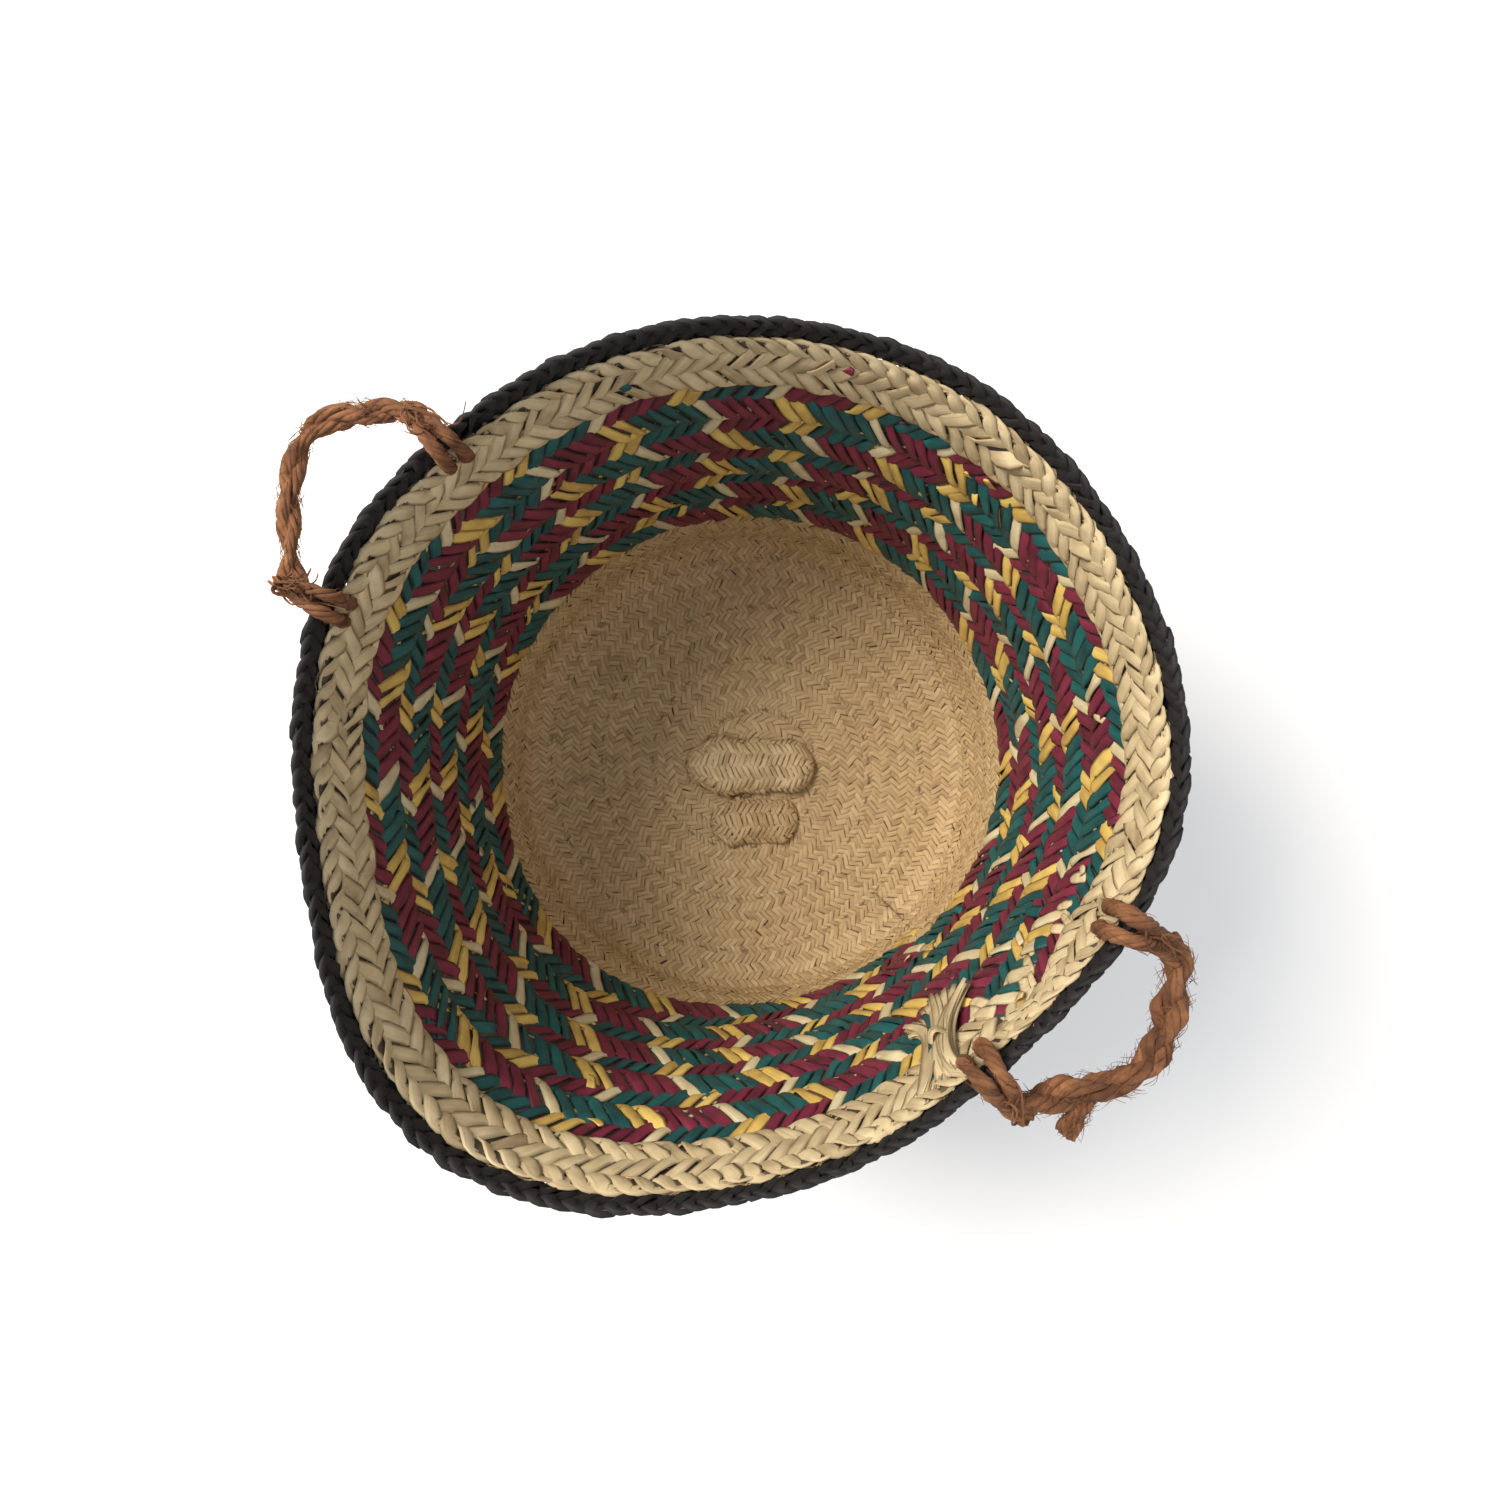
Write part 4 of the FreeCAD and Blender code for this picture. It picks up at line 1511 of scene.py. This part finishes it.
@dataclass
class LooseLeaves:
    """Leaf ends that stand off the plait: the tied tuft and single ends."""

    shape: BasketShape
    width: float = 0.0082
    knot_turn: float = -1.7
    thickness: float = 0.0005
    tuft_leaves: int = 44
    green_leaves: tuple[int, ...] = (7, 19)
    tie_turns: int = 5

    def leaf(
        self,
        skin: Skin,
        points: np.ndarray,
        facing: np.ndarray,
        width: float,
        slot: int,
        seed: int,
    ) -> None:
        """Add one flat leaf.

        Args:
            skin: mesh that takes it.
            points: its middle line.
            facing: direction that its flat side faces, for each point.
            width: its greatest width.
            slot: material slot.
            seed: random seed.
        """
        rng = np.random.default_rng(seed)
        section = leaf_section(0.5)
        tangent = np.gradient(points, axis=0)
        tangent /= np.linalg.norm(tangent, axis=1, keepdims=True)
        across = np.cross(tangent, facing)
        across /= np.linalg.norm(across, axis=1, keepdims=True)
        normal = np.cross(across, tangent)
        share = np.linspace(0, 1, len(points))
        half = width / 2 * (1 - 0.45 * share**4) * (1 + wobble(rng, share, 0.2, 0.06))
        offset = half[:, None] * section[:, 0]
        cup = (offset / width) ** 2 * width * 0.5
        lift = self.thickness * section[:, 1] + cup
        rings = points[:, None] + across[:, None] * offset[..., None]
        rings = rings + normal[:, None] * lift[..., None]
        facts = np.zeros(rings.shape)
        facts[..., 0] = share[:, None] * 0.05 + rng.uniform(0, 5)
        facts[..., 1] = offset
        facts[..., 2] = rng.uniform(0, 90)
        skin.tube(rings, facts, np.full(len(points) - 1, slot))

    def _wall_line(
        self, stops: Sequence[tuple[float, float, float]], count: int
    ) -> tuple[np.ndarray, np.ndarray]:
        """Smooth line over the wall's inside and the way into the basket along it.

        Args:
            stops: azimuth in degrees, height and lift of a few points.
            count: number of points wanted.

        Returns:
            The points and the inward directions.
        """
        at = np.linspace(0, 1, count)
        knots = np.linspace(0, 1, len(stops))
        power = min(3, len(stops) - 1)
        curves = [np.polyfit(knots, values, power) for values in np.array(stops).T]
        azimuth, height, lift = (np.polyval(curve, at) for curve in curves)
        azimuth = np.radians(azimuth)
        points = self.shape.point(self.shape.along_at(height), azimuth, lift)
        inward = np.stack([-np.cos(azimuth), -np.sin(azimuth), 0.25 + 0 * azimuth], axis=-1)
        return points, inward

    def tuft(self) -> None:
        """Make the tied tuft of leaf ends that stands for the CAD's leaf tail."""
        low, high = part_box("leaf_tail")
        middle = (Vector(low) + Vector(high)) / 2
        knot = math.degrees(math.atan2(middle.y, middle.x)) + self.knot_turn
        tie = high.z
        # Degrees past the knot, degrees that the tuft is half as wide as, and metres above the tie.
        places = ((-3.7, 4.2, 0.032), (-2.0, 2.6, 0.017), (0.0, 1.3, 0.0), (1.8, 4.4, -0.026))
        rng = np.random.default_rng(12)
        skin = Skin()
        for number in range(self.tuft_leaves):
            fan = -1 + 2 * ((number * 0.618) % 1)
            lift = 0.0030 + 0.0005 * (number % 9)
            shorter = 0.014 * abs(fan) + rng.uniform(0, 0.010)
            stops = [(knot + turn + fan * reach, tie + rise, lift) for turn, reach, rise in places]
            stops[0] = (*stops[0][:2], 0.0020)
            stops[2] = (*stops[2][:2], lift + 0.003)
            end = knot + 3.0 + fan * 7.6 + rng.normal(0, 0.7)
            stops.append((end, tie - 0.054 + shorter, lift + rng.uniform(-0.001, 0.004)))
            points, inward = self._wall_line(stops, 14)
            slot = 1 if number in self.green_leaves else 0
            width = self.width * rng.uniform(0.7, 1.2)
            self.leaf(skin, points, inward + rng.normal(0, 0.16, 3), width, slot, number)
        for turn in range(self.tie_turns):
            reach = 2.6 + rng.uniform(-0.2, 0.2)
            level = tie - 0.003 + 0.0018 * turn
            top = (knot, level + rng.normal(0, 0.002), 0.0135)
            stops = [(knot - reach, level, 0.001), top, (knot + reach, level, 0.001)]
            points, inward = self._wall_line(stops, 12)
            self.leaf(skin, points, inward, 0.004, 0, 60 + turn)
        made = skin.build("leaf_tuft", [Leaf.PALE, Leaf.GREEN])
        finish_piece(made, BASKET, ["leaf_tail"])

    def ends(self) -> None:
        """Make single leaf ends that poke out of the wall's inside."""
        rng = np.random.default_rng(44)
        skin = Skin()
        # Azimuth in degrees, height and finish of each end.
        places = [(52.5, 0.262, 1), (50.5, 0.255, 1), (48.5, 0.270, 1)]
        places += [(-18, 0.262, 0), (-36, 0.285, 0), (-33, 0.25, 0)]
        for _ in range(20):
            places.append((rng.uniform(0, 360), rng.uniform(0.08, 0.31), int(rng.integers(0, 4))))
        places += [(rng.uniform(-52, -18), rng.uniform(0.255, 0.318), 0) for _ in range(9)]
        for number, (azimuth, height, slot) in enumerate(places):
            length = rng.uniform(0.008, 0.014)
            lean = rng.choice([-1, 1]) * rng.uniform(0.8, 1.8)
            drop = rng.choice([-1, 1]) * length * rng.uniform(0.7, 1.0)
            stops = [
                (azimuth, height, 0.0010),
                (azimuth + lean * 0.5, height + drop * 0.5, rng.uniform(0.0028, 0.0036)),
                (azimuth + lean, height + drop, rng.uniform(0.0030, 0.0050)),
            ]
            points, inward = self._wall_line(stops, 7)
            self.leaf(skin, points, inward, rng.uniform(0.0042, 0.0070), slot, 300 + number)
        finishes = [Leaf.PALE, Leaf.YELLOW, Leaf.MAROON, Leaf.GREEN]
        made = skin.build("leaf_ends", finishes)
        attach(made, BASKET)
        log.info("leaf_ends: %d leaves", len(places))


@dataclass
class Lacing:
    """Thin twisted leaf cord that runs in the seams, in and out of the plait's edges."""

    spiral: SpiralStrip
    radius: float = 0.0010
    depth: float = 0.0017
    stitch: float = 0.0172
    spacing: float = 0.0021
    usual_radius: float = 0.18

    def run(self, name: str, first: float, last: float, nodes: Sequence[str]) -> None:
        """Lay the lacing along the seams between two angles along the strip.

        Args:
            name: the piece's name.
            first: angle where it starts.
            last: angle where it ends.
            nodes: CAD nodes that it stands for.
        """
        angle = np.arange(first, last, self.spacing / self.usual_radius)
        level = (self.spiral.dyed_turns + 1) * TURN - 0.001
        seam = np.where(angle > level, self.spiral.top_seam, self.spiral.seam(angle))
        azimuth = self.spiral.start_azimuth - angle
        points = self.spiral.shape.point(seam, azimuth, 0.0 * angle)
        radius = np.maximum(np.hypot(points[:, 0], points[:, 1]), 0.01)
        walked = np.cumsum(np.concatenate([[0.0], np.diff(angle)]) * radius)
        weave = np.sin(walked / self.stitch * TURN)
        line = self.spiral.shape.point(seam + 0.0004 * weave, azimuth, self.depth * weave)
        skin = Skin()
        cord = Rope(self.radius, plies=1, yarns=3, twist=90.0, hairs=0, sides=4, uneven=0.05)
        cord.lay(skin, line, 5 + len(nodes))
        made = skin.build(name, [Leaf.CORD])
        finish_piece(made, BASKET, nodes)

    def build(self) -> None:
        """Lay all seams."""
        names = [f"seam_cord_{number:02d}" for number in range(1, 13)]
        self.run("lacing_floor", self.spiral.first + 0.6 * TURN, -TURN, names[:4])
        self.run("lacing_wall", -TURN, 6 * TURN, names[4:11])
        self.run("lacing_rim", 6 * TURN, 7 * TURN, names[11:])


# ---------------------------------------------------------------- studio


@dataclass
class Studio:
    """Camera over the mouth, soft lights and a pale floor."""

    camera_height: float = 0.804
    lens: float = 23.81
    film: float = 36.0
    shift: tuple[float, float] = (0.0053, 0.0066)
    floor_size: float = 6.0

    def camera(self) -> None:
        """Place the camera straight above, looking down."""
        data = bpy.data.cameras.new("camera")
        data.lens = self.lens
        data.sensor_width = self.film
        data.shift_x, data.shift_y = self.shift
        data.clip_start = 0.01
        data.dof.use_dof = False
        made = bpy.data.objects.new("camera", data)
        made.location = (0.0, 0.0, self.camera_height)
        bpy.context.scene.collection.objects.link(made)
        bpy.context.scene.camera = made

    def _area(
        self,
        name: str,
        at: tuple[float, float, float],
        size: float,
        power: float,
        tint: Colour,
    ) -> None:
        """Add a square soft light that faces the lower part of the basket.

        Args:
            name: the light's name.
            at: its place.
            size: length of its sides.
            power: in watts.
            tint: its colour.
        """
        data = bpy.data.lights.new(name, "AREA")
        data.shape = "SQUARE"
        data.size = size
        data.energy = power
        data.color = tint
        made = bpy.data.objects.new(name, data)
        made.location = at
        aim = Vector((0.0, 0.0, 0.12)) - Vector(at)
        made.rotation_euler = aim.to_track_quat("-Z", "Y").to_euler()
        bpy.context.scene.collection.objects.link(made)

    def lights(self) -> None:
        """Soft key from the left and above, weak cool fill and an even sky."""
        self._area("key_light", (-1.1, 0.55, 1.75), 0.9, 54.0, (1.0, 0.93, 0.82))
        self._area("fill_light", (1.3, -0.8, 1.9), 1.6, 4.0, (0.88, 0.92, 1.0))
        world = bpy.data.worlds.new("studio")
        world.use_nodes = True
        background = world.node_tree.nodes["Background"]
        background.inputs["Color"].default_value = (0.95, 0.97, 1.0, 1.0)
        background.inputs["Strength"].default_value = 0.75
        bpy.context.scene.world = world
        bpy.context.scene.view_settings.view_transform = "Standard"

    def floor(self) -> None:
        """Lay the floor."""
        half = self.floor_size / 2
        mesh = bpy.data.meshes.new("studio_floor")
        corners = [(-half, -half, 0), (half, -half, 0), (half, half, 0), (-half, half, 0)]
        mesh.from_pydata(corners, [], [(0, 1, 2, 3)])
        mesh.materials.append(FloorFinish().material())
        made = bpy.data.objects.new("studio_floor", mesh)
        bpy.context.scene.collection.objects.link(made)

    def build(self) -> None:
        """Set up camera, lights and floor."""
        self.camera()
        self.lights()
        self.floor()
        log.info("studio: camera at %.3f m, lens %.2f mm", self.camera_height, self.lens)


def handles() -> None:
    """Build the slim left handle and the thicker right one, with its loose end."""
    left_route = ((-0.040, 0.021), (-0.028, 0.036), (-0.014, 0.043), (0.002, 0.039))
    left_route += ((0.018, 0.029), (0.033, 0.016), (0.044, 0.006))
    left = Handle("left", left_route, diameter=0.0105, ply=0.0062, spread=0.0042, tangle=16)
    left.build()
    right_route = ((-0.044, 0.016), (-0.031, 0.026), (-0.015, 0.034), (0.002, 0.036))
    right_route += ((0.017, 0.027), (0.031, 0.015), (0.044, 0.007))
    right = RightHandle("right", right_route, diameter=0.0140, ply=0.0080, spread=0.0052, tangle=8)
    right.build([right.loose_end()])


def bands(spiral: SpiralStrip) -> None:
    """Build the pale band above the dyed turns and the black rim.

    Args:
        spiral: the long strip that they close.
    """
    TopBand(
        spiral,
        name="plait_top_band",
        node="top_band",
        slot="pale_leaf",
        leaf=Leaf.PALE,
        plait=Plait(9, (3, 6), leaf_width=0.0092, relief=0.0010, crown=0.0008, seed=17, slack=2.4),
        teeth=125,
        lift_low=0.0016,
        lift_high=0.0016,
        reach_low=0.0050,
        reach_high=0.0022,
    ).build()
    RimBand(
        spiral,
        name="plait_rim",
        node="rim_strip",
        slot="black_plait",
        leaf=Leaf.BLACK,
        plait=Plait(5, (1, 3), leaf_width=0.0080, relief=0.0012, crown=0.0014, seed=23, slack=2.6),
        teeth=150,
        lift_low=-0.0040,
        lift_high=-0.0002,
        reach_low=0.0070,
        reach_high=0.0014,
    ).build()


def folded_start() -> None:
    """Build the strip's folded start and the small tuck beside it."""
    narrow = {"relief": 0.0006, "crown": 0.0005, "slack": 2.6}
    fold = Plait(19, (3, 6, 9, 12, 15), leaf_width=0.0044, seed=51, **narrow)
    # The fold's lighter leaf colour is painted light.
    Mound("plait_fold", "starting_fold", lean=-0.06, pits=(), plait=fold, leaf=Leaf.FOLD).build()
    tuck = Plait(15, (3, 6, 9, 12), leaf_width=0.0042, seed=57, **narrow)
    pits = ((0.0136, -0.060, 0.007),)
    Mound("plait_tuck", "starting_tuck", lean=0.10, pits=pits, plait=tuck).build()


def main() -> None:
    """Build the studio and the basket, in order."""
    Studio().build()
    handles()
    shape = BasketShape.from_frame()
    spiral = SpiralStrip(shape)
    spiral.build()
    bands(spiral)
    folded_start()
    leaves = LooseLeaves(shape)
    leaves.tuft()
    leaves.ends()
    Lacing(spiral).build()


if __name__ == "__main__":
    main()
